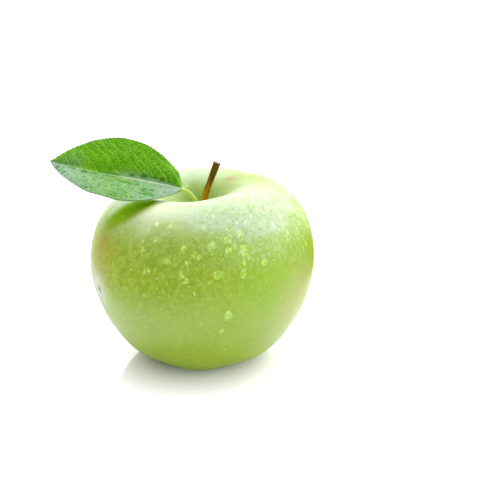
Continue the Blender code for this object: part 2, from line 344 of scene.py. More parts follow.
@dataclass(frozen=True)
class StudioCamera:
    """The photograph's camera: it looks along +Y, down on the apple, with a long lens.

    Its axis passes beside the fruit's centre, so the apple stands left of the picture's middle.
    """

    elevation: float = math.radians(19.62)
    lens: float = 85.0
    sensor: float = 36.0
    distance: float = 0.4131
    centre_right: float = -0.01673
    centre_up: float = -0.00149

    @property
    def back(self) -> Array:
        """The direction from the apple to the camera."""
        return np.array([0.0, -math.cos(self.elevation), math.sin(self.elevation)])

    @property
    def up(self) -> Array:
        """The direction of the picture's upper side."""
        return np.array([0.0, math.sin(self.elevation), math.cos(self.elevation)])

    def station(self, centre: Array) -> Array:
        """Where the camera stands for a fruit with this centre."""
        aside = np.array([self.centre_right, 0.0, 0.0]) + self.centre_up * self.up
        return centre - aside + self.distance * self.back

    def pixels(self, points: Array, centre: Array) -> Array:
        """Where points show in the picture.

        Args:
            points: Points in metres, x, y, z on the last axis.
            centre: The fruit's centre.

        Returns:
            Pixel columns and rows, on the last axis.
        """
        seen = points - self.station(centre)
        depth = -(seen @ self.back)
        focal = FRAME_PIXELS * self.lens / self.sensor
        column = FRAME_PIXELS / 2 + focal * seen[..., 0] / depth
        row = FRAME_PIXELS / 2 - focal * (seen @ self.up) / depth
        return np.stack([column, row], axis=-1)

    def build(self, centre: Array) -> None:
        """Make the camera and set it on the scene."""
        data = bpy.data.cameras.new("studio_camera")
        data.lens = self.lens
        data.sensor_width = self.sensor
        data.clip_start = 0.01
        camera = bpy.data.objects.new("studio_camera", data)
        camera.location = self.station(centre)
        camera.rotation_euler = (math.pi / 2 - self.elevation, 0.0, 0.0)
        bpy.context.scene.collection.objects.link(camera)
        bpy.context.scene.camera = camera


@dataclass(frozen=True)
class AppleForm:
    """The fruit's outer surface: a distance from its centre by angle from the stem end and turn from +X."""

    mean_radius: float = 0.03896
    narrower_top: float = 0.0032
    narrower_ends: float = 0.0011
    squarer_shoulders: float = 0.0015
    hollow_depth: float = 0.0201
    hollow_spread: float = 0.584
    basin_depth: float = 0.0135
    basin_spread: float = 0.32
    lean: float = math.radians(-4.57)
    oval: float = 0.035
    oval_turn: float = math.radians(90.6)
    three_sided: float = 0.026
    three_sided_turn: float = math.radians(99.3)
    high_shoulder: float = 0.0005
    high_shoulder_turn: float = math.radians(-81)
    lobes: int = 5
    lobe_turn: float = math.radians(53)
    shoulder_lobe: float = 0.0003
    shoulder_angle: float = 0.62
    foot: float = 0.0005
    foot_angle: float = 0.42
    foot_flat: float = 0.0003
    level_from: float = math.radians(110)
    level_to: float = math.radians(150)

    @staticmethod
    def swelling(angle: Array, width: float) -> Array:
        """A ring-shaped rise: x exp(1 - x), with x the square of the angle over the width."""
        ratio = (angle / width) ** 2
        return ratio * np.exp(1.0 - ratio)

    def upper(self, polar: Array) -> Array:
        """1 over the upper fruit and 0 at its feet, which stay level under the leaning fruit."""
        return ease((self.level_to - polar) / (self.level_to - self.level_from))

    def radius(self, polar: Array, turn: Array) -> Array:
        """Distance from the centre.

        A few cosines of the angle give the side's outline, cosines of the turn make it oval, three-sided and
        lobed, and a bell-shaped dip at each end makes the hollow and the basin.

        Args:
            polar: Angle down from the stem end.
            turn: Turn from +X.

        Returns:
            Metres from the centre.
        """
        out = self.mean_radius - self.narrower_top * np.cos(polar)
        out = out - self.narrower_ends * np.cos(2 * polar) - self.squarer_shoulders * np.cos(3 * polar)
        uneven = self.oval * np.sin(polar) ** 2 * np.cos(2 * (turn - self.oval_turn))
        uneven = uneven + self.three_sided * np.sin(polar) ** 3 * np.cos(3 * (turn - self.three_sided_turn))
        out = out * (1.0 + uneven * self.upper(polar))
        lobe = np.cos(self.lobes * (turn - self.lobe_turn))
        shoulder = self.high_shoulder * np.cos(turn - self.high_shoulder_turn) - self.shoulder_lobe * lobe
        out = out + shoulder * self.swelling(polar, self.shoulder_angle)
        out = out + self.foot * lobe * self.swelling(math.pi - polar, self.foot_angle)
        out = out - self.hollow_depth * bell(polar, self.hollow_spread)
        return out - self.basin_depth * bell(math.pi - polar, self.basin_spread)

    def point(self, polar: Array, turn: Array) -> Array:
        """A point of the leaning fruit, from its centre.

        Args:
            polar: Angle down from the stem end.
            turn: Turn from +X.

        Returns:
            x, y, z on a new last axis.
        """
        polar, turn = np.broadcast_arrays(polar, turn)
        radius = self.radius(polar, turn)
        x = radius * np.sin(polar) * np.cos(turn)
        y = radius * np.sin(polar) * np.sin(turn)
        z = radius * np.cos(polar)
        lean = self.lean * self.upper(polar)
        cos, sin = np.cos(lean), np.sin(lean)
        return np.stack([x * cos + z * sin, y, z * cos - x * sin], axis=-1)

    def floor(self) -> float:
        """The height of the surface under the fruit, from its centre."""
        polar = np.linspace(2.4, 3.0, 61)[:, None]
        turn = np.linspace(0.0, FULL_TURN, 361)[None, :]
        return float(self.point(polar, turn)[..., 2].min()) + self.foot_flat

    def footing(self, polar: Array, turn: Array) -> tuple[Array, Array, Array]:
        """Points of the surface with their outward and downhill directions.

        Args:
            polar: Angles down from the stem end.
            turn: Turns from +X.

        Returns:
            The points from the fruit's centre, the outward normals, and the downhill tangents.
        """
        step = 1e-3
        here = self.point(polar, turn)
        down = self.point(polar + step, turn) - here
        along = self.point(polar, turn + step) - here
        normal = unit(np.cross(down, along))
        fall = np.array([0.0, 0.0, -1.0]) - normal * (-normal[..., 2:3])
        return here, normal, unit(fall + 1e-6 * unit(down))


@dataclass(frozen=True)
class SkinFinish:
    """Waxy green skin: streaked, dotted with lenticels, paler on top from bloom and a painted sheen, blushed
    at one side.

    Below the colours come the noises, as features per metre or turn, octaves and roughness.
    """

    # deep: the darkest green, for streaks and patches, and for the painted shade below and at the right edge
    deep: tuple = (0.22, 0.335, 0.0)
    base: tuple = (0.28, 0.42, 0.002)
    light: tuple = (0.34, 0.48, 0.03)
    speck: tuple = (0.42, 0.57, 0.07)
    # painted sheen: the belly's sides paler, a reflection of the bright table and room
    painted_belly_sheen: tuple = (0.37, 0.50, 0.20)
    # fresh: greener, on the front right and between fine drops, and as painted shade under the leaf and at
    # the right edge
    fresh: tuple = (0.29, 0.52, 0.012)
    # haze and bloom: the pale bloom on top, with a painted sheen of the light from above and behind
    haze: tuple = (0.47, 0.69, 0.07)
    bloom: tuple = (0.66, 0.79, 0.55)
    # painted light: a bright patch on the front rim below the leaf, laid over the leaf's cast shadow
    painted_light: tuple = (0.86, 0.94, 0.62)
    hollow: tuple = (0.31, 0.47, 0.13)
    rays: tuple = (0.17, 0.35, 0.02)
    # painted reflection: a pale yellowish band down the front right side
    painted_side_reflection: tuple = (0.46, 0.47, 0.15)
    blush: tuple = (0.39, 0.36, 0.008)
    russet: tuple = (0.46, 0.33, 0.15)
    # painted reflection: a whitish gleam at the left edge
    painted_left_gleam: tuple = (0.70, 0.72, 0.60)
    scar: tuple = (0.10, 0.06, 0.03)
    dot: tuple = (0.62, 0.74, 0.34)
    cloud: tuple = (55.0, 3.0, 0.55)
    streak: tuple = (26.0, 4.0, 0.6)
    mottle: tuple = (820.0, 2.0, 0.6)
    patch: tuple = (520.0, 3.0, 0.6)
    fine_wet: tuple = (1150.0, 2.0, 0.6)
    dry_gap: tuple = (800.0, 2.0, 0.6)
    pale_ray: tuple = (40.0, 4.0, 0.65)
    dark_ray: tuple = (60.0, 3.0, 0.6)
    ragged: tuple = (700.0, 4.0, 0.7)
    pore: tuple = (1500.0, 2.0, 0.5)
    sheen: tuple = (160.0, 3.0, 0.5)
    dots_per_metre: float = 430.0
    drop_squash: tuple = (1.0, 1.0, 0.6)
    relief_depth: float = 0.00007
    glow_depth: float = 0.0022
    glow_colour: tuple = (0.7, 1.0, 0.25)

    def greens(self, mix: Recipe) -> None:
        """Lay the clouded, streaked and mottled greens, with painted shade below and painted sheen on the
        belly and top.

        Args:
            mix: The material's recipe.
        """
        place, grain = mix.place(), mix.mark("grain", "Vector")
        mix.colour = mix.blend(mix.fit(mix.noise(place, *self.cloud), 0.35, 0.68), self.base, self.light)
        mix.coat(mix.fit(mix.noise(grain, *self.streak), 0.42, 0.75, 0.0, 0.30), self.deep)
        pale = mix.fit(mix.noise(place, *self.mottle), 0.49, 0.60, 0.0, 0.70)
        mix.coat(mix.times(pale, mix.mark("mottled")), self.speck)
        patch = mix.noise(place, *self.patch)
        mix.coat(mix.times(mix.fit(patch, 0.47, 0.60, 0.0, 0.75), mix.mark("mottled")), self.deep)
        # low lays painted shade, belly a painted sheen, and fresh a greener tone that is also painted shade
        # under the leaf
        for label, tint in (("low", self.deep), ("belly", self.painted_belly_sheen), ("fresh", self.fresh)):
            mix.coat(label, tint)
        worn = mix.times(mix.fit(patch, 0.47, 0.60, 0.0, 0.2), mix.mark("mottled"))
        # the bloom and its painted sheen, worn away in patches, laid in two tones
        bloom_and_sheen_cover = mix.times(mix.mark("bloom"), mix.join("SUBTRACT", 1.0, worn))
        for power, tint in ((0.8, self.haze), (1.8, self.bloom)):
            mix.coat(mix.join("POWER", bloom_and_sheen_cover, power), tint)

    def speckle(self, mix: Recipe) -> Socket:
        """Lay the finest drops as painted pale glints, with greener dry skin between them.

        Args:
            mix: The material's recipe.

        Returns:
            1 on a fine drop.
        """
        across = mix.put("VectorMath", {0: mix.place(), 1: self.drop_squash}, operation="MULTIPLY").outputs[0]
        wet = mix.times(mix.fit(mix.noise(across, *self.fine_wet), 0.50, 0.64), mix.mark("wet"))
        # painted glints of the finest drops, in the pale tone of the bloom and its painted sheen
        mix.coat(mix.times(wet, 0.5), self.bloom)
        dry = mix.fit(mix.noise(across, *self.dry_gap), 0.46, 0.34, 0.0, 0.5)
        mix.coat(mix.times(dry, mix.mark("wet")), self.fresh)
        return wet

    def marks(self, mix: Recipe) -> None:
        """Lay the hollow's rays, the blush, russet and scar, and marks of painted light and painted
        reflection.

        Args:
            mix: The material's recipe.
        """
        grain = mix.mark("grain", "Vector")
        pale = mix.fit(mix.noise(grain, *self.pale_ray), 0.35, 0.65, 0.45, 1.0)
        dark = mix.fit(mix.noise(grain, *self.dark_ray), 0.50, 0.62, 0.0, 0.55)
        for ray, tint in ((pale, self.hollow), (dark, self.rays)):
            mix.coat(mix.times(mix.mark("hollow"), ray), tint)
        ragged = mix.fit(mix.noise(mix.place(), *self.ragged), 0.36, 0.58)
        for spot, share, tint in (
            (Place.PAINTED_LIGHT, 1.0, self.painted_light),
            (Place.PAINTED_SIDE_REFLECTION, 1.0, self.painted_side_reflection),
            (Place.BLUSH, 1.0, self.blush),
            (Place.RUSSET, ragged, self.russet),
            (Place.GLARE, 0.75, self.painted_left_gleam),
            (Place.SCAR, 1.0, self.scar),
        ):
            mix.coat(mix.times(mix.mark(spot.value), share), tint)

    def dots(self, mix: Recipe) -> Socket:
        """Lay the lenticels: small pale dots of chance size and strength.

        Args:
            mix: The material's recipe.

        Returns:
            How strong the dot is, 0 between them.
        """
        cells = mix.cells(mix.place(), self.dots_per_metre, "F1")
        chance = mix.put("SeparateColor", {0: cells.outputs["Color"]}).outputs
        reach = mix.fit(chance[0], 0.0, 1.0, 0.04, 0.17)
        spot = mix.join("LESS_THAN", cells.outputs["Distance"], reach)
        dot = mix.times(spot, mix.fit(chance[1], 0.3, 1.0, 0.0, 0.55))
        mix.coat(dot, self.dot)
        return dot

    def build(self) -> Material:
        """Make the material."""
        mix = Recipe("waxy_skin")
        self.greens(mix)
        wet = self.speckle(mix)
        self.marks(mix)
        dot = self.dots(mix)
        pores = mix.noise(mix.place(), *self.pore)
        bumps = mix.plus(mix.plus(mix.times(dot, 0.8), pores), mix.times(wet, 1.2))
        rough = mix.fit(mix.noise(mix.place(), *self.sheen), 0.3, 0.7, 0.34, 0.46)
        # no gloss in the painted shade under the leaf and at the right edge, less under the painted sheen
        dull = mix.most(mix.mark("shelter"), mix.mark("beside"))
        gloss = mix.fit(mix.most(dull, mix.times(mix.mark("bloom"), 0.6)), 0.0, 1.0, 0.22, 0.0)
        mix.set(Base_Color=mix.colour, Roughness=rough, Normal=mix.bump(bumps, self.relief_depth, 0.5))
        mix.set(IOR=1.45, Specular_IOR_Level=gloss)
        mix.set(Subsurface_Weight=mix.fit(mix.mark("beside"), 0.0, 1.0, 0.2, 0.0))
        mix.set(Subsurface_Scale=self.glow_depth, Subsurface_Radius=self.glow_colour)
        return mix.material


@dataclass
class Fruit:
    """The fruit's fine skin, and the places on it that the photograph's pixels show.

    The turns in radians are those of the sides that its masks are laid round.
    """

    form: AppleForm
    camera: StudioCamera
    turns: int = 360
    rings: int = 262
    unevenness: float = 0.00022
    marks_at: dict = field(default_factory=lambda: {
        Place.BLUSH: ((98.0, 254.0), 0.22),
        Place.RUSSET: ((230.0, 178.0), 0.085),
        # painted light on the front rim below the leaf
        Place.PAINTED_LIGHT: ((156.0, 206.0), 0.22),
        # painted reflection at the left edge
        Place.GLARE: ((97.0, 286.0), 0.13),
        Place.SCAR: ((98.0, 289.0), 0.030),
    })
    shade_from: tuple = (172.0, 198.0)
    shade_to: tuple = (122.0, 226.0)
    shade_fade: float = 7.0
    shade_turn: float = math.radians(-120)
    reflection_band_turn: float = math.radians(-33)
    reflection_band_width: float = math.radians(13)
    left_turn: float = -2.3
    right_turn: float = -0.85
    beside_turn: float = -0.30
    far_turn: float = 0.5
    near_side: dict = field(default_factory=dict)

    def __post_init__(self) -> None:
        """Find the fruit's centre in the row frame, from its CAD box and its own outline."""
        low, high = (np.array(corner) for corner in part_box("fruit"))
        polar = np.linspace(0.5, 2.5, 121)[:, None]
        turn = np.linspace(0.0, FULL_TURN, 241)[None, :]
        span = self.form.point(polar, turn).reshape(-1, 3)
        middle = (low + high) / 2 - (span.min(axis=0) + span.max(axis=0)) / 2
        self.centre = np.array([middle[0], middle[1], low[2] - self.form.floor()])

    def pick(self, pixel: tuple[float, float]) -> tuple[float, float]:
        """The place on the near side of the skin that shows at a pixel.

        Args:
            pixel: Column and row in the photograph.

        Returns:
            Its angle from the stem end and its turn.
        """
        side = self.near_side
        if not side:
            polar, turn = np.meshgrid(
                np.linspace(0.1, 2.9, 700), np.linspace(-math.pi, math.pi, 1400), indexing="ij")
            points, normals, _ = self.form.footing(polar, turn)
            towards = unit(self.camera.station(self.centre) - self.centre - points)
            seen = (normals * towards).sum(axis=-1) > 0.02
            side.update(polar=polar[seen], turn=turn[seen], near=points[seen] @ self.camera.back)
            side["pixels"] = self.camera.pixels(points[seen] + self.centre, self.centre)
        away = np.linalg.norm(side["pixels"] - np.array(pixel), axis=-1)
        best = np.argmin(np.maximum(away, 1.0) - 0.01 * side["near"])
        return float(side["polar"][best]), float(side["turn"][best])

    def spots(self, polar: Array, turn: Array, points: Array) -> dict[str, Array]:
        """The masks of the marks: bells round the places of some pixels, and a band of painted reflection
        down one side.

        Args:
            polar: Angle of each vertex from the stem end.
            turn: Its turn.
            points: Its place from the fruit's centre.

        Returns:
            Values by attribute name.
        """
        direction = unit(points)
        masks = {}
        for mark, (pixel, width) in self.marks_at.items():
            spot = unit(self.form.point(*(np.array(angle) for angle in self.pick(pixel))))
            masks[mark.value] = bell(np.arccos(np.clip(direction @ spot, -1.0, 1.0)), width)
        masks[Place.BLUSH.value] *= 0.75 + 0.25 * ripple(points, 0.012, 31)
        # a band of painted reflection down the front right side
        off = wrap(turn - (self.reflection_band_turn + 0.10 * ripple(points, 0.03, 32)))
        masks[Place.PAINTED_SIDE_REFLECTION.value] = 0.62 * bell(off, self.reflection_band_width) * zone(polar, 1.35, 0.45, 2.5, 0.6)
        return masks

    def shade(self, polar: Array, turn: Array, points: Array) -> Array:
        """The part under the leaf that the light from behind misses: the skin beyond a line in the picture.

        Args:
            polar: Angle of each vertex from the stem end.
            turn: Its turn.
            points: Its place from the fruit's centre.

        Returns:
            1 in the shade, 0 outside it.
        """
        start, end = np.array(self.shade_from), np.array(self.shade_to)
        edge = unit(np.array([start[1] - end[1], end[0] - start[0]]))
        beyond = (self.camera.pixels(points + self.centre, self.centre) - start) @ edge
        facing = ease((np.cos(turn - self.shade_turn) - 0.75) / 0.15)
        return ease(0.2 + beyond / self.shade_fade) * facing * ease((polar - 0.55) / 0.1)

    def masks(self, polar: Array, turn: Array, points: Array) -> dict[str, Array]:
        """How strongly each tone and mark shows at each vertex.

        Args:
            polar: Angle of each vertex from the stem end.
            turn: Its turn.
            points: Its place from the fruit's centre.

        Returns:
            Values of 0 to 1 by attribute name, and the vectors that streaks follow.
        """
        masks = self.spots(polar, turn, points)
        left, right = wrap(turn - self.left_turn), wrap(turn - self.right_turn)
        far, near_edge = wrap(turn - self.far_turn), wrap(turn - self.beside_turn)
        shaded = self.shade(polar, turn, points)
        # the bloom with its painted sheen: over the top, fading down the sides, weaker on the far side, none
        # in the leaf's shade
        wash = 1.02 - 0.15 * bell(left, 0.9) + 0.12 * bell(right, 0.4) + 0.03 * ripple(points, 0.009, 33)
        fading = 0.11 + 0.08 * bell(right, 1.0) + 0.06 * bell(left, 0.6)
        bloom = np.exp(-np.maximum(polar - wash, 0.0) / fading) * ease((polar - 0.3) / 0.3)
        # the right edge's painted shade: darker green and dull
        beside = bell(near_edge, 0.32) * zone(polar, 1.15, 0.3, 1.95, 0.35)
        # under the leaf: painted shade, saturated green as if lit through the leaf, with no sheen and no
        # gloss
        shelter = shaded * ease((1.25 - polar) / 0.3)
        fresh = 0.75 * bell(right, 0.55) * ease((2.2 - polar) / 0.8) + 0.9 * shelter
        rim = 0.66 + 0.05 * ripple(points, 0.006, 34)
        # belly: painted sheen, strongest towards the left and right sides
        sides = 0.34 + 0.50 * np.sin(turn + math.pi / 2) ** 2
        lower = 2.3 + 0.35 * bell(right - 0.35, 0.5)
        # the painted light stays out of the leaf's shade
        masks[Place.PAINTED_LIGHT.value] *= 0.8 * (1 - shaded)
        masks.update(
            hollow=0.92 * ease((rim - polar) / 0.32),
            bloom=(1 - shaded) * bloom * (1 - 0.6 * bell(far, 0.6)),
            # low: painted shade, darker towards the bottom and at the right edge
            low=np.maximum(0.35 * ease((polar - 1.85) / 0.3), 0.9 * beside),
            beside=beside,
            shelter=shelter,
            fresh=np.maximum(fresh * (1 - beside), 0.3 * beside),
            wet=bell(right, 0.8) * zone(polar, 0.75, 0.2, 1.6, 0.4),
            mottled=(0.4 + 0.6 * ease((1.85 - polar) / 0.4)) * (0.4 + 0.6 * ease(0.5 - 0.8 * np.sin(turn))),
            belly=sides * zone(polar, 1.4, 0.4, lower, 0.5) * (1 - beside),
        )
        masks = {label: np.clip(values, 0.0, 1.0) for label, values in masks.items()}
        masks["grain"] = np.stack([np.cos(turn), np.sin(turn), 0.11 * polar], axis=-1)
        return masks

    def build(self) -> Object:
        """Make the skin as rings of points down the fruit, a little uneven and pressed flat at its feet.

        Returns:
            The fruit's object.
        """
        share = np.linspace(0.0, 1.0, self.rings + 2)[1:-1]
        polar, turn = np.meshgrid(math.pi * share, around(self.turns), indexing="ij")
        rings, normals, _ = self.form.footing(polar, turn)
        dent = 0.5 * self.unevenness * (1.0 + 0.6 * ripple(rings, 0.03, 11) + 0.4 * ripple(rings, 0.011, 12))
        rings = rings - normals * (np.maximum(dent, 0.0) * zone(polar, 0.0, 0.3, math.pi, 0.7))[..., None]
        rings[..., 2] = np.maximum(rings[..., 2], self.form.floor())
        ends = self.form.point(np.array([0.0, math.pi]), np.array([0.0, 0.0]))
        points, faces = closed_rings(rings, ends[0], ends[1])
        polars = np.concatenate([[0.0], polar.ravel(), [math.pi]])
        turns = np.concatenate([[0.0], turn.ravel(), [0.0]])
        obj = new_object("fruit_skin", points + self.centre, faces, self.masks(polars, turns, points))
        obj.data.materials.append(SkinFinish().build())
        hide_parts("fruit")
        return obj


@dataclass(frozen=True)
class BarkFinish:
    """Dry stalk: dark purplish brown above, rust brown below, a pale pinkish cut end.

    Below the colours come the noises, as features per metre or turn, octaves and roughness.
    """

    dark: tuple = (0.15, 0.08, 0.008)
    rust: tuple = (0.66, 0.29, 0.001)
    ridge: tuple = (0.62, 0.36, 0.015)
    green: tuple = (0.30, 0.28, 0.06)
    cut: tuple = (0.98, 0.74, 0.64)
    pith: tuple = (0.42, 0.22, 0.14)
    worn: tuple = (1.6, 4.0, 0.6)
    fibre: tuple = (5.0, 4.0, 0.65)
    crumb: tuple = (3500.0, 3.0, 0.5)
    specks_per_turn: float = 4.0
    relief_depth: float = 0.00012
    gloss: float = 0.04

    def build(self) -> Material:
        """Make the material."""
        mix = Recipe("stalk_bark")
        grain = mix.mark("grain", "Vector")
        share = mix.mark("share")
        level = mix.plus(share, mix.fit(mix.noise(grain, *self.worn), 0.3, 0.7, -0.12, 0.12))
        mix.colour = mix.blend(mix.fit(level, 0.45, 0.78), self.rust, self.dark)
        mix.coat(mix.fit(share, 0.30, 0.12, 0.0, 0.6), self.green)
        fibre = mix.noise(grain, *self.fibre)
        mix.coat(mix.fit(fibre, 0.52, 0.78, 0.0, 0.7), self.ridge)
        specks = mix.cells(grain, self.specks_per_turn, "F1").outputs["Distance"]
        mix.coat(mix.fit(specks, 0.16, 0.06, 0.0, 0.6), self.ridge)
        ring = mix.blend(mix.mark("heart"), self.cut, self.pith)
        crumb = mix.fit(mix.noise(mix.place(), *self.crumb), 0.45, 0.7, 0.0, 0.5)
        mix.coat("cut", mix.blend(crumb, ring, self.pith))
        rough = mix.fit(fibre, 0.3, 0.7, 0.5, 0.75)
        mix.set(Base_Color=mix.colour, Roughness=rough, Specular_IOR_Level=self.gloss)
        mix.set(Normal=mix.bump(fibre, self.relief_depth, 0.8))
        return mix.material


@dataclass
class Stem:
    """The stalk, standing in the hollow, with its points from the fruit's centre.

    Each knot is where it is along the stalk, its half length as a share of the stalk, and its strength.
    """

    centre: Array
    at_floor: tuple = (-0.0010, 0.0, 0.0130)
    top: tuple = (0.0056, 0.0, 0.0333)
    bow: tuple = (-0.0004, 0.0, 0.0)
    radius: float = 0.00105
    top_radius: float = 0.00140
    rounding: float = 0.0003
    sunk: float = 0.0045
    twist: float = 1.2
    knots: tuple = ((0.62, 0.02, 1.0), (0.83, 0.015, 0.8))
    cut_rough: float = 0.00006
    cut_rim: float = 0.35
    sides: int = 72
    rings: int = 190
    cut_rings: int = 9

    def bark(self, share: Array, turn: Array) -> Array:
        """The stalk's radius: flared at the top, ridged lengthwise with a twist, and swollen at its knots.

        Args:
            share: How far up the stalk, from 0 to 1.
            turn: Where round it.

        Returns:
            Metres from its line.
        """
        flare = (self.top_radius - self.radius) * (share ** 9 + 0.15 * np.sin(9 * share) ** 2)
        spiral = turn + self.twist * share
        ridges = 0.5 + 0.3 * np.sin(7 * spiral) + 0.2 * np.sin(13 * spiral + 2.0 * np.sin(6 * share))
        knots = sum(strength * bell(share - at, half) for at, half, strength in self.knots)
        return (self.radius + flare) * (0.985 - 0.075 * ridges + 0.03 * knots)

    def build(self) -> Object:
        """Make the stalk as rings carried down its line, under rings that round its cut top.

        Returns:
            The stem's object.
        """
        top, floor = np.array(self.top), np.array(self.at_floor)
        direction = unit(top - floor)
        foot = floor - direction * self.sunk
        side = unit(np.cross([0.0, 1.0, 0.0], direction))
        across = np.cross(direction, side)
        share, turn = np.meshgrid(np.linspace(1.0, 0.0, self.rings), around(self.sides), indexing="ij")
        out = np.cos(turn)[..., None] * side + np.sin(turn)[..., None] * across
        reach = self.bark(share, turn)[..., None] * out
        sway = np.array(self.bow) * np.sin(math.pi * share)[..., None]
        body = foot + share[..., None] * (top - foot) + sway + reach
        inset = np.linspace(0.12, 0.97, self.cut_rings)[:, None, None]
        swell = self.rounding * (0.25 + 0.55 * np.sin(math.pi * inset) ** 2) * (1 - 0.6 * (inset < 0.3))
        rough = self.cut_rough * ripple(top + inset * reach[0], 0.0006, 41)[..., None]
        cap = top + inset * reach[0] + (swell + rough) * direction
        points, faces = closed_rings(np.concatenate([cap, body]), top + direction * self.rounding * 0.1, foot)
        on_cap, on_body = self.cut_rings * self.sides, self.rings * self.sides
        cut = np.concatenate([np.ones(1 + on_cap), np.zeros(on_body + 1)])
        cut[1 + on_cap - self.sides:1 + on_cap] = self.cut_rim
        core = np.repeat(ease((0.5 - inset.ravel()) / 0.3), self.sides)
        heart = np.concatenate([[1.0], core, np.zeros(on_body + 1)])
        shares = np.concatenate([np.ones(1 + on_cap), share.ravel(), [0.0]])
        turns = np.concatenate([[0.0], np.tile(turn[0], self.cut_rings), turn.ravel(), [0.0]])
        grain = np.stack([np.cos(turns), np.sin(turns), 2.6 * shares], axis=-1)
        marks = {"cut": cut, "heart": heart, "share": shares, "grain": grain}
        obj = new_object("stem_stalk", points + self.centre, faces, marks)
        obj.data.materials.append(BarkFinish().build())
        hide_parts("stem")
        return obj


@dataclass(frozen=True)
class VeinPattern:
    """The leaf's lateral veins, alternate on its two halves.

    A vein lies where the run along the rib, less a slanted and curved reach out from it, is a whole spacing.
    """

    spacing: float = 0.0043
    slant: float = 0.80
    curve: float = 24.0

    def away(self, run: Array, reach: Array, sign: Array) -> Array:
        """Metres along the rib to the nearest vein.

        Args:
            run: The run along the rib.
            reach: The reach out from it.
            sign: 1 on the far half and -1 on the near half.

        Returns:
            The distance, one for each point.
        """
        order = (run - self.slant * reach - self.curve * reach ** 2) / self.spacing
        order = order + np.where(sign > 0, 0.0, 0.5)
        return np.abs(order - np.round(order)) * self.spacing

    def order(self, mix: Recipe, run: Socket, across: Socket) -> Socket:
        """The count of spacings in a material, whole on a vein.

        Args:
            mix: The material's recipe.
            run: The run along the rib.
            across: The reach out from it, below 0 on the near half.

        Returns:
            The count.
        """
        reach = mix.join("ABSOLUTE", across, 0.0)
        bend = mix.times(mix.times(reach, reach), self.curve)
        order = mix.join("SUBTRACT", mix.join("SUBTRACT", run, mix.times(reach, self.slant)), bend)
        order = mix.times(order, 1 / self.spacing)
        return mix.plus(order, mix.times(mix.join("LESS_THAN", across, 0.0), 0.5))


@dataclass(frozen=True)
class LeafFinish:
    """A fresh leaf: deep green with pale veins and a painted sheen above, greyer below, and a bright stalk.

    Below the colours come the noises, as features per metre or turn, octaves and roughness.
    """

    deep: tuple = (0.07, 0.30, 0.0)
    base: tuple = (0.095, 0.37, 0.0)
    fresh: tuple = (0.12, 0.45, 0.0)
    vein: tuple = (0.42, 0.72, 0.06)
    net: tuple = (0.23, 0.56, 0.004)
    # sheen: painted sheen, a pale reflection of the bright room over the near half, along the rib and near
    # the tip
    sheen: tuple = (0.33, 0.45, 0.38)
    soaked: tuple = (0.05, 0.24, 0.0)
    rib: tuple = (0.82, 0.95, 0.62)
    stalk: tuple = (0.70, 0.86, 0.24)
    under: tuple = (0.20, 0.36, 0.12)
    margin: tuple = (0.12, 0.14, 0.015)
    cloud: tuple = (140.0, 4.0, 0.6)
    patch: tuple = (420.0, 3.0, 0.6)
    streak: tuple = (1300.0, 3.0, 0.6)
    wander: tuple = (160.0, 2.0, 0.5)
    breaks: tuple = (330.0, 2.0, 0.5)
    pore: tuple = (2200.0, 2.0, 0.5)
    fine_net: float = 880.0
    coarse_net: float = 420.0
    vein_width: float = 0.00013
    relief_depth: float = 0.00007
    glow_depth: float = 0.0003
    glow_colour: tuple = (0.5, 1.0, 0.12)
    pattern: VeinPattern = VeinPattern()

    def veins(self, mix: Recipe, plane: Socket) -> Socket:
        """The lateral veins, a little crooked and broken.

        Args:
            mix: The material's recipe.
            plane: The run along the rib and the reach out from it, in metres.

        Returns:
            1 on a vein, and 0 between two.
        """
        run, across = mix.put("SeparateXYZ", {0: plane}).outputs[:2]
        order = self.pattern.order(mix, run, across)
        order = mix.plus(order, mix.fit(mix.noise(plane, *self.wander), 0.2, 0.8, -0.22, 0.22))
        away = mix.join("PINGPONG", order, 0.5)
        width = self.vein_width / self.pattern.spacing
        line = mix.fit(away, 1.6 * width, 0.5 * width)
        return mix.times(line, mix.fit(mix.noise(plane, *self.breaks), 0.35, 0.6, 0.25, 1.0))

    def build(self) -> Material:
        """Make the material."""
        mix = Recipe("leaf_blade")
        plane = mix.mark("plane", "Vector")
        cloud = mix.noise(plane, *self.cloud)
        mix.colour = mix.blend(mix.fit(cloud, 0.35, 0.65), self.deep, self.base)
        mix.coat(mix.fit(mix.noise(plane, *self.patch), 0.45, 0.75, 0.0, 0.6), self.fresh)
        fine, coarse = (
            mix.cells(plane, scale, "DISTANCE_TO_EDGE").outputs["Distance"]
            for scale in (self.fine_net, self.coarse_net))
        net = mix.most(mix.fit(fine, 0.10, 0.02, 0.0, 0.9), mix.fit(coarse, 0.09, 0.01, 0.0, 0.6))
        mix.coat(net, self.net)
        vein = mix.times(self.veins(mix, plane), mix.mark("vein"))
        mix.coat(vein, self.vein)
        # the painted sheen, broken in streaks; the wet spots of drops cover it
        veil = mix.fit(mix.noise(plane, *self.streak), 0.3, 0.6, 0.72, 1.0)
        mix.coat(mix.times(mix.mark("sheen"), veil), self.sheen)
        mix.coat("wet", self.soaked)
        mix.coat("rib", self.rib)
        mix.coat(mix.fit(mix.mark("under"), 0.4, 0.6, 0.0, 0.6), self.under)
        mix.coat("margin", self.margin)
        mix.coat("stalk", self.stalk)
        relief = mix.plus(mix.times(mix.most(net, vein), -1.0), mix.noise(plane, *self.pore))
        dry = mix.fit(mix.mark("wet"), 0.0, 0.8, 1.0, 0.0)
        gloss = mix.times(mix.fit(mix.mark("sheen"), 0.0, 0.6, 0.1, 0.22), dry)
        mix.set(Base_Color=mix.colour, Roughness=mix.fit(cloud, 0.3, 0.7, 0.34, 0.46))
        mix.set(Normal=mix.bump(relief, self.relief_depth, 0.7), Specular_IOR_Level=gloss)
        mix.set(Subsurface_Weight=0.2, Subsurface_Scale=self.glow_depth, Subsurface_Radius=self.glow_colour)
        return mix.material


@dataclass(frozen=True)
class LeafSurface:
    """The built leaf's upper grid, for what lies on it.

    The size runs from 0 at the rib to 1 at the edge. The sign is 1 on the far half and -1 on the near one.
    """

    leaf: Object
    points: Array
    normals: Array
    size: Array
    sign: Array
    share: Array


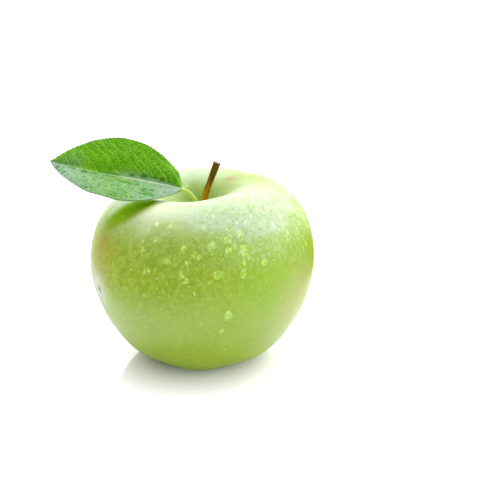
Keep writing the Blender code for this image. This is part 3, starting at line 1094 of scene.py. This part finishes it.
@dataclass
class Leaf:
    """The leaf: a toothed blade folded along its rib, and its stalk. Points run from the fruit's centre."""

    centre: Array
    blade_base: tuple = (-0.0054, -0.0079, 0.0259)
    blade_tip: tuple = (-0.0497, -0.0083, 0.0358)
    rib_bow_low: tuple = (0.0, 0.0016, -0.0004)
    rib_bow_high: tuple = (0.0, -0.0007, -0.0011)
    stalk_foot: tuple = (-0.0009, -0.0020, 0.0160)
    stalk_bend_low: tuple = (-0.0009, -0.0036, 0.0212)
    stalk_bend_high: tuple = (-0.0037, -0.0079, 0.0251)
    stalk_radius: float = 0.00075
    stalk_radius_at_blade: float = 0.00062
    stalk_run: float = 0.013
    blade_run: float = 0.0458
    half_width: float = 0.0158
    base_fullness: float = 0.79
    tip_fullness: float = 0.87
    far_rise: float = math.radians(41.7)
    far_rise_change: float = math.radians(-6.2)
    near_fall: float = math.radians(10.0)
    near_fall_change: float = math.radians(6.8)
    thickness: float = 0.00042
    arch: float = 0.0005
    tip_radius: float = 0.0003
    rib_on_top: float = 0.3
    teeth: int = 30
    teeth_from: float = 0.10
    teeth_to: float = 0.97
    tooth_depth: float = 0.00025
    tooth_hook: float = 0.00015
    tooth_point: float = 0.8
    pattern: VeinPattern = VeinPattern()
    vein_width: float = 0.00035
    vein_depth: float = 0.00005
    vein_below: float = 0.00006
    quilt: float = 0.00003
    quilt_width: float = 0.0009
    valley: float = 0.0005
    valley_width: float = 0.12
    wave: float = 0.00016
    wave_length: float = 0.012
    ribbon: float = 0.00036
    stalk_stations: int = 60
    tooth_stations: int = 8
    columns: int = 121

    def stations(self) -> tuple[Array, Array]:
        """Shares of the blade's length, and how far each tooth has risen there."""
        pitch = (self.teeth_to - self.teeth_from) / self.teeth
        inner = np.arange(self.teeth * self.tooth_stations) / self.tooth_stations
        phase = inner % 1.0
        rising, falling = (phase / self.tooth_point) ** 0.8, (1 - phase) / (1 - self.tooth_point)
        rise = np.where(phase <= self.tooth_point, rising, falling)
        low = np.linspace(0.0, self.teeth_from, 26, endpoint=False)
        high = np.linspace(self.teeth_to, 1.0, 9)
        share = np.concatenate([low, self.teeth_from + pitch * inner, high])
        return share, np.concatenate([0 * low, rise, 0 * high])

    def line(self, share: Array) -> Array:
        """Points along the stalk and then the blade's rib, each a cubic curve."""
        base, tip = np.array(self.blade_base), np.array(self.blade_tip)
        run = tip - base
        stalk = np.array([self.stalk_foot, self.stalk_bend_low, self.stalk_bend_high, self.blade_base])
        rib = np.array([base, base + run / 3 + self.rib_bow_low, base + run * 2 / 3 + self.rib_bow_high, tip])
        lead = np.linspace(0.0, 1.0, self.stalk_stations, endpoint=False)
        return np.vstack([bezier(stalk, lead), bezier(rib, share)])

    def spread(self, share: Array) -> Array:
        """Half the blade's width: share to one power times its rest to another, 1 at the widest place."""
        base, tip = self.base_fullness, self.tip_fullness
        widest = base / (base + tip)
        return self.half_width * (share / widest) ** base * ((1 - share) / (1 - widest)) ** tip

    def marks(self, shares: Array, size: Array, sign: Array, opened: Array, reach: Array) -> dict[str, Array]:
        """How strongly the rib, the painted sheen, the dark edge and the stalk's colour show on the grid.

        Args:
            shares: Shares of the blade's length, by row.
            size: How far out from the rib, from 0 to 1, by column.
            sign: The half, by column.
            opened: 0 on the stalk and 1 on the blade, by row.
            reach: Metres out from the rib.

        Returns:
            Values of 0 to 1 by attribute name.
        """
        ribbon = bell(reach, self.ribbon * (1.25 - shares)) * (0.5 + 0.5 * ease((0.7 - shares) / 0.4))
        # painted sheen: over the near half, along the rib near the base, and near the tip
        nearer = ease(size / 0.05) * (0.62 + 0.30 * np.cos(FULL_TURN * (shares - 0.02)))
        above_rib = bell(size, 0.15) * ease((0.6 - shares) / 0.25)
        by_tip = 0.35 * bell(size, 0.5) * ease((shares - 0.70) / 0.15)
        sheen = np.where(sign < 0, nearer, 0.8 * np.maximum(above_rib, by_tip))
        margin = np.where(sign > 0, 0.6, 0.05) * ease((size - 0.965) / 0.03)
        stalk = 1 - ease(shares / 0.03)
        return {"rib": ribbon * opened, "sheen": sheen * opened, "margin": margin * opened, "stalk": stalk}

    def build(self) -> tuple[Object, LeafSurface]:
        """Make the leaf from a middle surface thickened to both sides.

        Each station's row runs from the near edge over the rib to the far edge. The two halves leave the rib
        at their own angles and arch a little.

        Returns:
            The leaf's object, and its upper surface for what lies on it.
        """
        share, rise = self.stations()
        line = self.line(share)
        lead = np.zeros(self.stalk_stations)
        along = unit(np.gradient(line, axis=0))
        far = unit(np.array([0.0, 1.0, 0.0]) - along[:, 1:2] * along)
        up = np.cross(far, along)
        stalk = np.linspace(self.stalk_radius, self.stalk_radius_at_blade, self.stalk_stations)
        depth = self.tooth_depth * zone(share, 0.0, 0.15, 1.0, 0.08)
        edge = np.where(share < self.teeth_from, 0.0, depth * (1 - rise))
        core = self.stalk_radius_at_blade + (self.tip_radius - self.stalk_radius_at_blade) * share
        pairs = (
            (stalk, np.hypot(self.spread(share), core)),
            (stalk, np.hypot(self.spread(share) - edge, core)),
            (lead, self.tooth_hook * rise * (depth > 0)),
            (lead, ease(share / 0.08)),
            (lead, share),
        )
        full, width, hook, opened, shares = (np.concatenate(pair)[:, None] for pair in pairs)
        steps = np.linspace(-1.0, 1.0, self.columns)
        steps = (np.sign(steps) * np.abs(steps) ** 1.15)[None, :]
        size, sign = np.abs(steps), np.sign(steps)
        rising = self.far_rise + self.far_rise_change * (shares - 0.5)
        falling = -self.near_fall - self.near_fall_change * (shares - 0.5)
        angle = np.where(sign > 0, rising, falling) * opened
        reach = full * size - (full - width) * size ** 6
        ratio = size / self.valley_width
        valley = np.where(sign > 0, self.valley * ratio * np.exp(0.5 - 0.5 * ratio ** 2), 0.0)
        arch = (self.arch * 4 * size * (1 - size) - valley) * opened
        cos, sin = np.cos(angle)[..., None], (np.sin(angle) * sign)[..., None]
        out = far[:, None] * cos + up[:, None] * sin
        lift = up[:, None] * cos - far[:, None] * sin
        sheet = line[:, None] + out * (sign * reach)[..., None] + lift * arch[..., None]
        sheet = sheet + along[:, None] * (hook * size ** 8)[..., None]

        before = np.linspace(-self.stalk_run, 0.0, self.stalk_stations, endpoint=False)
        run = np.concatenate([before, share * self.blade_run])[:, None]
        off_vein = self.pattern.away(run, reach, sign)
        fade = ease(shares / 0.05) * ease((1.02 - size) / 0.25) * ease((0.99 - shares) / 0.1)
        vein = bell(0.75 * off_vein, self.vein_width * (1.15 - 0.6 * size)) * fade
        pillow = (1 - bell(0.75 * off_vein, self.quilt_width)) * zone(size, 0.0, 0.1, 1.0, 0.15) * opened
        relief = (self.quilt * pillow - self.vein_depth * vein) * opened
        wave = self.wave * ripple(sheet, self.wave_length, 51) * opened * ease(size / 0.3)

        normal = unit(np.cross(np.gradient(sheet, axis=1), np.gradient(sheet, axis=0)))
        half = self.thickness / 2
        taper = (self.stalk_radius_at_blade - half) * (1 - share) ** 0.8
        rib = np.concatenate([stalk, half + taper])[:, None]
        bulge = (rib - half) * bell(reach, 1.3 * rib)
        roundness = (1 - opened) * rib * np.sqrt(1 - 0.97 * steps ** 2)
        above = opened * (half + self.rib_on_top * bulge) + roundness + relief + wave
        below = opened * (half + bulge) + roundness - relief + self.vein_below * vein - wave
        top = sheet + normal * above[..., None]
        points, faces = closed_sheet(top, sheet - normal * below[..., None])

        grid = np.ones_like(reach)
        marks = self.marks(shares, size, sign, opened, reach) | {"vein": fade * opened}
        marks = {label: np.tile((values * grid).ravel(), 2) for label, values in marks.items()}
        marks["under"] = np.repeat([0.0, 1.0], reach.size)
        plane = np.stack([run * grid, sign * reach, 0.01 * grid], axis=-1).reshape(-1, 3)
        marks["plane"] = np.vstack([plane, plane + np.array([0.3, 0.0, 0.0])])
        obj = new_object("leaf_blade", points + self.centre, faces, marks)
        obj.data.materials.append(LeafFinish().build())
        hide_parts("leaf")
        return obj, LeafSurface(obj, top + self.centre, normal, size * grid, sign * grid, shares * grid)


@dataclass(frozen=True)
class DryFinish:
    """Dried sepals: dull brown, with painted shade darker in the folds, greenish at the foot."""

    dark: tuple = (0.07, 0.038, 0.02)
    pale: tuple = (0.27, 0.17, 0.085)
    green: tuple = (0.20, 0.22, 0.06)
    crumple: tuple = (1500.0, 4.0, 0.65)
    relief_depth: float = 0.0002

    def build(self) -> Material:
        """Make the material."""
        mix = Recipe("dry_sepals")
        crumple = mix.noise(mix.place(), *self.crumple)
        # painted shade: darker where the crumple noise, which also makes the relief, lies low
        mix.colour = mix.blend(mix.fit(crumple, 0.35, 0.65), self.dark, self.pale)
        mix.coat("foot", self.green)
        mix.set(Base_Color=mix.colour, Roughness=mix.fit(crumple, 0.3, 0.7, 0.75, 0.9))
        mix.set(Normal=mix.bump(crumple, self.relief_depth, 0.8))
        return mix.material


@dataclass
class Calyx:
    """The dried flower end: a plug with five sepals round a tuft. Heights run down from the basin's floor."""

    basin_floor: Array
    plug_radius: float = 0.0022
    plug_sunk: float = 0.0030
    sepals: int = 5
    sepal_turn: float = math.radians(20)
    thickness: float = 0.0005
    inset: float = 0.00035
    spread: float = 0.0006
    curl: float = 0.0020
    rise: float = 0.0046
    droop: float = 0.0010
    start: float = 0.0004
    valley: float = 0.12
    sharpness: float = 0.8
    wrinkle: float = 0.00009
    cup_radius: float = 0.0009
    cup_height: float = 0.0006
    cup_floor: float = 0.0010
    foot_height: float = 0.0012
    turns: int = 300
    steps: int = 22
    hairs: int = 20
    hair_turn: float = 2.4
    hair_length: tuple = (0.0012, 0.0019)
    hair_lean: tuple = (0.1, 0.45)
    hair_radius: float = 0.00009
    hair_foot: float = 0.0003
    hair_tip: float = 0.00005
    hair_sides: int = 6
    hair_rings: int = 6
    seed: int = 71

    def crown(self) -> tuple[Array, list]:
        """The sepals as rings: up the plug, out along their outer faces, and back along their inner ones.

        Returns:
            The points from the basin's floor, and the faces.
        """
        turn = around(self.turns)
        spacing = FULL_TURN / self.sepals
        off = np.abs((turn - self.sepal_turn + spacing / 2) % spacing - spacing / 2) / (spacing / 2)
        length = self.valley + (1 - self.valley) * (1 - off) ** self.sharpness
        wrinkle = self.wrinkle * np.sin(9 * off * math.pi) * (1 + 0.5 * np.sin(3 * turn))
        level = 0 * turn
        outline = [(level + self.plug_radius, level - self.plug_sunk), (level + self.plug_radius, level)]
        shares = np.linspace(0.0, 1.0, self.steps)
        for side, order in ((0.5, shares), (-0.5, shares[::-1])):
            for share in order:
                reach = length * share
                out = self.plug_radius - self.inset + self.spread * reach + self.curl * reach ** 3
                height = self.start + self.rise * reach - self.droop * reach ** 3
                steep = self.rise - 3 * self.droop * reach ** 2
                flat = -self.spread - 3 * self.curl * reach ** 2
                face = side * self.thickness * unit(np.stack([steep, flat], axis=-1))
                outline.append((out + wrinkle * share + face[:, 0], height + face[:, 1]))
        outline.append((level + self.cup_radius, level + self.cup_height))
        rings = np.array([
            np.stack([out * np.cos(turn), out * np.sin(turn), -height], axis=-1) for out, height in outline])
        start, end = np.array([0.0, 0.0, self.plug_sunk]), np.array([0.0, 0.0, -self.cup_floor])
        return closed_rings(rings, start, end)

    def tuft(self, first: int) -> tuple[Array, list]:
        """The dried stamens: short bent hairs that stand in the cup.

        Args:
            first: The number of the first vertex.

        Returns:
            Their points from the basin's floor, and their faces.
        """
        draw = np.random.default_rng(self.seed)
        points, faces = [], []
        turn = around(self.hair_sides)
        ring = self.hair_radius * np.stack([np.cos(turn), np.sin(turn), 0 * turn], axis=-1)
        share = np.linspace(1.0, 0.0, self.hair_rings)[:, None]
        tip = np.array([0.0, 0.0, self.hair_tip])
        for hair in range(self.hairs):
            angle, lean = hair * self.hair_turn, draw.uniform(*self.hair_lean)
            from_axis = self.cup_radius * math.sqrt((hair + 0.5) / self.hairs)
            root = np.array([math.cos(angle), math.sin(angle), 0.0]) * from_axis
            tall = draw.uniform(*self.hair_length)
            line = root * (1 + lean * share ** 2) - [0.0, 0.0, 1.0] * (self.hair_foot + tall * share)
            rings = line[::-1, None] + ring[None] * (0.8 + 0.5 * share[::-1, None] ** 6)
            part, part_faces = closed_rings(rings, line[-1] + tip, line[0] - tip)
            offset = first + sum(len(block) for block in points)
            faces += [[corner + offset for corner in face] for face in part_faces]
            points.append(part)
        return np.vstack(points), faces

    def build(self) -> Object:
        """Make the sepals as one crown whose reach follows five points, thin, wrinkled and curled out.

        Returns:
            The calyx's object.
        """
        points, faces = self.crown()
        tuft, tuft_faces = self.tuft(len(points))
        foot = np.clip(1.0 - np.abs(points[:, 2]) / self.foot_height, 0.0, 1.0)
        marks = {"foot": np.concatenate([foot, np.zeros(len(tuft))])}
        points = np.vstack([points, tuft]) + self.basin_floor
        obj = new_object("calyx_sepals", points, [*faces, *tuft_faces], marks)
        obj.data.materials.append(DryFinish().build())
        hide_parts("calyx")
        return obj


@dataclass(frozen=True)
class WaterFinish:
    """A film of water: what lies under it shows through highlights and a faint milky tone, which is painted
    light.
    """

    clear: tuple = (0.98, 0.99, 0.96)
    # pale and dim: the milky tone, painted light that stands in for the light the drops gather
    pale: tuple = (0.095, 0.125, 0.055)
    dim: tuple = (0.02, 0.035, 0.005)
    smooth: float = 0.30
    rough: float = 0.50
    gloss: float = 0.16
    bend: float = 1.333
    clouds: tuple = (900.0, 2.0, 0.5)

    def build(self) -> Material:
        """Make the material."""
        mix = Recipe("water_film")
        haze = mix.noise(mix.place(), *self.clouds)
        painted_drop_light = mix.blend(mix.fit(haze, 0.3, 0.7), self.dim, self.pale)
        mix.set(Base_Color=painted_drop_light, Roughness=mix.fit(haze, 0.3, 0.7, self.smooth, self.rough))
        mix.set(IOR=self.bend, Specular_IOR_Level=self.gloss)
        clear = mix.put("BsdfTransparent", {"Color": self.clear})
        both = mix.put("AddShader", {0: mix.shader.outputs[0], 1: clear.outputs[0]})
        mix.feed(mix.tree.nodes["Material Output"].inputs["Surface"], both.outputs[0])
        return mix.material


@dataclass(frozen=True)
class Sprinkle:
    """A piece of many like drops: its name, how many, how fine, and how far apart they lie at least."""

    name: str
    count: int
    radius: tuple
    rows: int
    sides: int
    gap: float = 0.0


@dataclass
class Drops:
    """Water drops of one piece: domes that sit on its surface."""

    name: str
    slot: Slot
    seed: int
    rows: int
    sides: int
    finish: WaterFinish = WaterFinish()
    cap: float = math.radians(45)
    skirt: tuple = (0.97, -0.3)
    sunk: float = 0.35
    sag: float = 0.35
    uneven: tuple = (0.16, 0.12)

    def build(self, at: Array, normal: Array, down: Array, radius: Array, stretch: Array,
              height: Array) -> Object:
        """Make every drop from one dome, each turned to its normal and stretched along its tangent.

        The dome's height is that of a sphere's cap, its outline is a little uneven, and it sags on a steep
        surface. Its skirt and floor lie under the surface, so it is closed.

        Args:
            at: Where each drop sits.
            normal: The surface's outward direction there.
            down: The tangent that it is stretched along.
            radius: Half of each drop's width.
            stretch: Its length over its width.
            height: Its height over its half width.

        Returns:
            The drops' object.
        """
        draw = np.random.default_rng(self.seed)
        count = len(at)
        rise = np.linspace(0.0, self.cap, self.rows + 1)[1:]
        turn = around(self.sides)
        level = math.cos(self.cap)
        ring_out = np.append(np.sin(rise) / math.sin(self.cap), self.skirt[0])[None, :, None]
        ring_high = np.append((np.cos(rise) - level) / (1 - level), self.skirt[1])[None, :, None]
        phase = draw.uniform(0.0, FULL_TURN, (2, count, 1))
        oval, corners = (np.cos(waves * turn + shift) for waves, shift in zip((2, 3), phase))
        outline = 1 + self.uneven[0] * oval + self.uneven[1] * corners
        side = np.cross(normal, down)[:, None, None]
        slip = self.sag * (1 - np.abs(normal[:, 2])) * radius
        tall = radius * height
        out = ring_out * outline[:, None, :] * radius[:, None, None]
        high = (ring_high * tall[:, None, None] * np.ones_like(out))[..., None]
        sag = slip[:, None, None] * np.clip(ring_high, 0.0, 1.0)
        x, y = out * np.cos(turn) * stretch[:, None, None] + sag, out * np.sin(turn)
        ring = at[:, None, None] + x[..., None] * down[:, None, None] + y[..., None] * side
        ring = ring + high * normal[:, None, None]
        crown = at + normal * tall[:, None] + down * slip[:, None]
        base = at - normal * (self.sunk * tall)[:, None]
        points = np.concatenate([crown[:, None], ring.reshape(count, -1, 3), base[:, None]], axis=1)
        template, faces = closed_rings(np.zeros((self.rows + 1, self.sides, 3)), np.zeros(3), np.zeros(3))
        every = [np.array([face for face in faces if len(face) == size]) for size in (3, 4)]
        offsets = (np.arange(count) * len(template))[:, None, None]
        rows = []
        for group in every:
            rows += (group[None] + offsets).reshape(-1, group.shape[1]).tolist()
        obj = new_object(self.name, points.reshape(-1, 3), rows, {})
        obj.data.materials.append(self.finish.build())
        return obj


@dataclass
class SkinWater:
    """The drops on the skin: big ones placed by their pixels, and beads and a mist over the shoulder.

    Each big drop is its column, its row and its half width, all in the photograph's pixels.
    """

    fruit: Fruit
    seed: int = 61
    big: tuple = (
        (166, 261, 3.6), (183, 249, 2.6), (212, 246, 3.8), (228, 240, 3.2), (229, 250, 2.6), (245, 250, 3.6),
        (265, 262, 2.6), (181, 276, 3.2), (219, 275, 4.2), (244, 274, 3.8), (186, 282, 2.6), (146, 272, 3.0),
        (194, 253, 2.2), (200, 257, 2.2), (229, 316, 4.0), (222, 332, 2.4), (156, 223, 1.8), (170, 225, 1.8),
        (205, 227, 1.8), (142, 249, 2.0), (155, 240, 1.9), (243, 248, 2.4), (240, 232, 2.2), (198, 238, 1.9),
        (281, 215, 2.6), (268, 208, 1.9), (288, 232, 1.9), (240, 203, 1.9),
    )
    big_share: float = 0.95
    big_height: float = 0.16
    wettest_turn: float = math.radians(-38)
    small: tuple = (
        Sprinkle("skin_mist", 3000, (0.00009, 0.00024), 3, 7, 0.0004),
        Sprinkle("skin_beads", 110, (0.00030, 0.00060), 5, 12, 0.0018),
    )

    def scatter(self, count: int, gap: float, draw: np.random.Generator) -> tuple[Array, Array]:
        """Draw places, denser over the upper right shoulder and none below the belly.

        Args:
            count: How many to keep.
            gap: The least distance between two, in metres.
            draw: The random draws.

        Returns:
            Their angles from the stem end and their turns.
        """
        polar = np.arccos(draw.uniform(-0.75, 0.92, 14 * count))
        turn = draw.uniform(0.0, FULL_TURN, polar.size)
        shoulder = bell(wrap(turn - self.wettest_turn), 0.75) * bell(polar - 0.95, 0.30)
        likely = 0.045 * ease((1.9 - polar) / 0.8) + shoulder
        keep = draw.uniform(0.0, 1.0, polar.size) < likely
        polar, turn = polar[keep], turn[keep]
        points = self.fruit.form.point(polar, turn)
        chosen = []
        for index, point in enumerate(points):
            if len(chosen) == count:
                break
            if not chosen or np.min(((points[chosen] - point) ** 2).sum(axis=-1)) > gap ** 2:
                chosen.append(index)
        return polar[chosen], turn[chosen]

    def build(self) -> list[Object]:
        """Make the mist, the beads and the big drops.

        Returns:
            The drops' objects.
        """
        draw = np.random.default_rng(self.seed)
        made = []
        for kind in self.small:
            at, normal, down = self.fruit.form.footing(*self.scatter(kind.count, kind.gap, draw))
            radius = draw.uniform(*kind.radius, len(at))
            stretch = 1 + 1.6 * draw.uniform(0.0, 1.0, len(at)) * (1 - np.abs(normal[:, 2]))
            height = draw.uniform(0.10, 0.20, len(at))
            drops = Drops(kind.name, Slot.SKIN, self.seed + 1, kind.rows, kind.sides)
            made.append(drops.build(at + self.fruit.centre, normal, down, radius, stretch, height))
        picks = np.array([self.fruit.pick(spot[:2]) for spot in self.big])
        at, normal, down = self.fruit.form.footing(picks[:, 0], picks[:, 1])
        radius = np.array([spot[2] for spot in self.big]) * self.big_share / PIXELS_PER_METRE
        stretch = draw.uniform(1.05, 1.45, len(picks))
        height = np.full(len(picks), self.big_height)
        drops = Drops("skin_drops", Slot.SKIN, self.seed + 2, 9, 22)
        made.append(drops.build(at + self.fruit.centre, normal, down, radius, stretch, height))
        return made


@dataclass
class LeafWater:
    """The drops on the leaf: a mist and beads near the rib and on the near half, and a few larger.

    Each big drop is its column, row and half width in the photograph's pixels, and its length over its width.
    The leaf gets an attribute that says where drops wet it.
    """

    surface: LeafSurface
    camera: StudioCamera
    centre: Array
    seed: int = 81
    # the leaf's drops: a fainter milky tone of painted light
    finish: WaterFinish = WaterFinish(
        (0.99, 1.0, 0.98), (0.02, 0.03, 0.02), (0.0, 0.005, 0.0), smooth=0.12, rough=0.24, gloss=0.2)
    big: tuple = (
        (110, 174.6, 3.3, 3), (85.5, 171.4, 2.3, 2), (72.5, 167.6, 2, 1.6), (143, 176, 2.3, 1.5),
        (162.2, 179.6, 1.6, 1.5), (121.4, 180.8, 1.9, 2.6), (128.5, 182.8, 2, 1.8), (147.2, 193.8, 2.8, 1.4),
        (143.6, 189.4, 2, 1.3), (151.5, 190, 1.9, 1.3), (132, 175.6, 1.5, 1.6), (165, 172.5, 1, 2.2),
        (94, 172.6, 1.8, 2), (137, 185, 1.6, 1.5), (155, 177.5, 1.2, 2), (117, 186, 1.6, 1.4),
    )
    big_height: float = 0.3
    big_along: tuple = (-1.0, 0.0, 0.22)
    wet_reach: float = 1.1
    small: tuple = (
        Sprinkle("leaf_mist", 800, (0.00009, 0.00022), 3, 7),
        Sprinkle("leaf_beads", 110, (0.00028, 0.00050), 5, 12),
    )

    def wet(self, wetted: Array, at: Array, along: Array, radius: Array, stretch: Array) -> None:
        """Mark where drops cover the leaf.

        Args:
            wetted: The share that is covered at each point of the upper grid. It is raised here.
            at: Where each drop sits.
            along: The direction that each is stretched in.
            radius: Half of each drop's width.
            stretch: Its length over its width.
        """
        points = self.surface.points.reshape(-1, 3)
        for spot, direction, half, long in zip(at, along, radius, stretch):
            off = points - spot
            run = off @ direction
            away = ((off ** 2).sum(axis=-1) - run ** 2) / half ** 2 + (run / (half * long)) ** 2
            np.maximum(wetted, 0.95 * np.exp(-(away ** 3)), out=wetted)

    def likely(self) -> Array:
        """How likely a small drop is at each point of the upper grid, with a sum of 1."""
        size, share, sign = self.surface.size, self.surface.share, self.surface.sign
        inside = (share > 0.08) & (share < 0.95) & (size < 0.93) & (size > 0.05)
        low = 0.4 + 0.6 * bell(share - 0.38, 0.25)
        high = 0.8 * bell(size, 0.35) * bell(share - 0.25, 0.25) + 0.03
        likely = (inside * np.where(sign < 0, low, high) * np.sqrt(size)).ravel()
        return likely / likely.sum()

    def build(self) -> list[Object]:
        """Make the leaf's drops.

        Returns:
            The drops' objects.
        """
        draw = np.random.default_rng(self.seed)
        points, normals = self.surface.points.reshape(-1, 3), self.surface.normals.reshape(-1, 3)
        likely = self.likely()
        made, wetted = [], np.zeros(likely.size)
        for kind in self.small:
            spots = draw.choice(likely.size, size=kind.count, replace=False, p=likely)
            at, normal = points[spots], normals[spots]
            level = unit(np.array([1.0, 0.0, 0.0]) - normal * normal[:, :1])
            radius = draw.uniform(*kind.radius, kind.count)
            stretch = 1 + 0.6 * draw.uniform(0.0, 1.0, kind.count)
            height = draw.uniform(0.25, 0.4, kind.count)
            near = self.surface.sign.ravel()[spots] < 0
            self.wet(wetted, at[near], level[near], radius[near], stretch[near])
            drops = Drops(kind.name, Slot.LEAF, self.seed + 1, kind.rows, kind.sides, self.finish)
            made.append(drops.build(at, normal, level, radius, stretch, height))
        shown = self.camera.pixels(points, self.centre)
        spots = [int(np.argmin(np.linalg.norm(shown - np.array(spot[:2]), axis=-1))) for spot in self.big]
        at, normal = points[spots], normals[spots]
        towards = np.array(self.big_along)
        along = unit(towards - normal * (normal @ towards)[:, None])
        radius = np.array([spot[2] for spot in self.big]) / PIXELS_PER_METRE
        stretch = np.array([spot[3] for spot in self.big])
        self.wet(wetted, at, along, self.wet_reach * radius, stretch)
        layer = self.surface.leaf.data.attributes.new("wet", "FLOAT", "POINT")
        layer.data.foreach_set("value", np.concatenate([wetted, 0 * wetted]).astype(np.float32))
        drops = Drops("leaf_drops", Slot.LEAF, self.seed + 2, 7, 24, self.finish)
        made.append(drops.build(at, normal, along, radius, stretch, np.full(len(spots), self.big_height)))
        return made


@dataclass
class Studio:
    """A glowing white table under one flat soft lamp, in a room that is bright behind and above.

    The lamp's radiance and the room's brightnesses are those of their surfaces.
    """

    lamp_at: tuple = (0.26, 0.75, 0.75)
    lamp_aim: tuple = (0.0, 0.0, 0.035)
    lamp_size: tuple = (1.6, 0.8)
    lamp_radiance: float = 1.95
    bright_side: tuple = (0.30, 0.84, 0.45)
    bright_from: float = -0.3
    bright_to: float = 0.9
    dim: float = 0.50
    bright: float = 1.6
    # the table's glow, which fades out near the apple's feet as a painted shadow
    painted_table_glow: float = 0.6
    glow_from: float = 0.008
    glow_to: float = 0.048
    floor_half: float = 3.0
    floor_steps: int = 9
    floor_height: float = -0.00002
    floor_white: tuple = (0.93, 0.89, 0.97)
    floor_cloud: tuple = (14.0, 2.0, 0.5)

    def build_floor(self) -> Object:
        """Make the table's top as a flat grid just under the feet. It glows, less near the feet: a painted
        shadow.
        """
        steps = np.linspace(-self.floor_half, self.floor_half, self.floor_steps)
        x, y = np.meshgrid(steps, steps, indexing="xy")
        points = np.stack([x, y, np.full_like(x, self.floor_height)], axis=-1).reshape(-1, 3)
        faces = quads(np.arange(x.size).reshape(x.shape))
        floor = new_object("table_top", points, faces.tolist(), {})
        mix = Recipe("white_table")
        rough = mix.fit(mix.noise(mix.place(), *self.floor_cloud), 0.3, 0.7, 0.07, 0.10)
        away = mix.put("VectorMath", {0: mix.place()}, operation="LENGTH").outputs["Value"]
        painted_table_glow = mix.fit(away, self.glow_from, self.glow_to, 0.0, self.painted_table_glow)
        mix.set(Base_Color=self.floor_white, Roughness=rough, Specular_IOR_Level=0.5)
        mix.set(Emission_Color=self.floor_white, Emission_Strength=painted_table_glow)
        floor.data.materials.append(mix.material)
        return floor

    def build_lamp(self) -> None:
        """Make the lamp. Its power is pi times its area times its radiance."""
        data = bpy.data.lights.new("back_top", "AREA")
        data.shape = "RECTANGLE"
        data.size, data.size_y = self.lamp_size
        data.energy = math.pi * data.size * data.size_y * self.lamp_radiance
        lamp = bpy.data.objects.new("back_top", data)
        lamp.location = self.lamp_at
        towards = Vector(self.lamp_aim) - Vector(self.lamp_at)
        lamp.rotation_euler = towards.to_track_quat("-Z", "Y").to_euler()
        bpy.context.scene.collection.objects.link(lamp)

    def build_sky(self) -> None:
        """Make the room's light: bright behind, dim on the camera's side, and plain white where it shows."""
        world = bpy.data.worlds.new("studio_sky")
        world.use_nodes = True
        sky = Nodes(world.node_tree)
        room = sky.tree.nodes["Background"]
        sky.feed(room.inputs["Color"], (1.0, 1.0, 1.0))
        feeds = {0: sky.put("TexCoord").outputs["Generated"], 1: self.bright_side}
        facing = sky.put("VectorMath", feeds, operation="DOT_PRODUCT").outputs["Value"]
        fade = sky.fit(facing, self.bright_from, self.bright_to, self.dim, self.bright)
        shown = sky.most(fade, sky.put("LightPath").outputs["Is Camera Ray"])
        sky.feed(room.inputs["Strength"], shown)
        bpy.context.scene.world = world

    def build(self) -> None:
        """Make the floor, the lamp and the room's light."""
        self.build_floor()
        self.build_lamp()
        self.build_sky()
        bpy.context.scene.view_settings.view_transform = "Standard"


def main() -> None:
    """Build the pieces in order and make each ride on the apple's one body."""
    logging.basicConfig(level=logging.INFO, format="%(name)s: %(message)s")
    camera = StudioCamera()
    fruit = Fruit(AppleForm(), camera)
    basin_floor = fruit.centre + fruit.form.point(np.array(math.pi), np.array(0.0))
    camera.build(fruit.centre)
    leaf, surface = Leaf(fruit.centre).build()
    made = [fruit.build(), Stem(fruit.centre).build(), leaf, Calyx(basin_floor).build()]
    made += SkinWater(fruit).build() + LeafWater(surface, camera, fruit.centre).build()
    for piece in made:
        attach(piece, BODY)
        LOG.info("%s: %d faces", piece.name, len(piece.data.polygons))
    Studio().build()


if __name__ == "__main__":
    main()
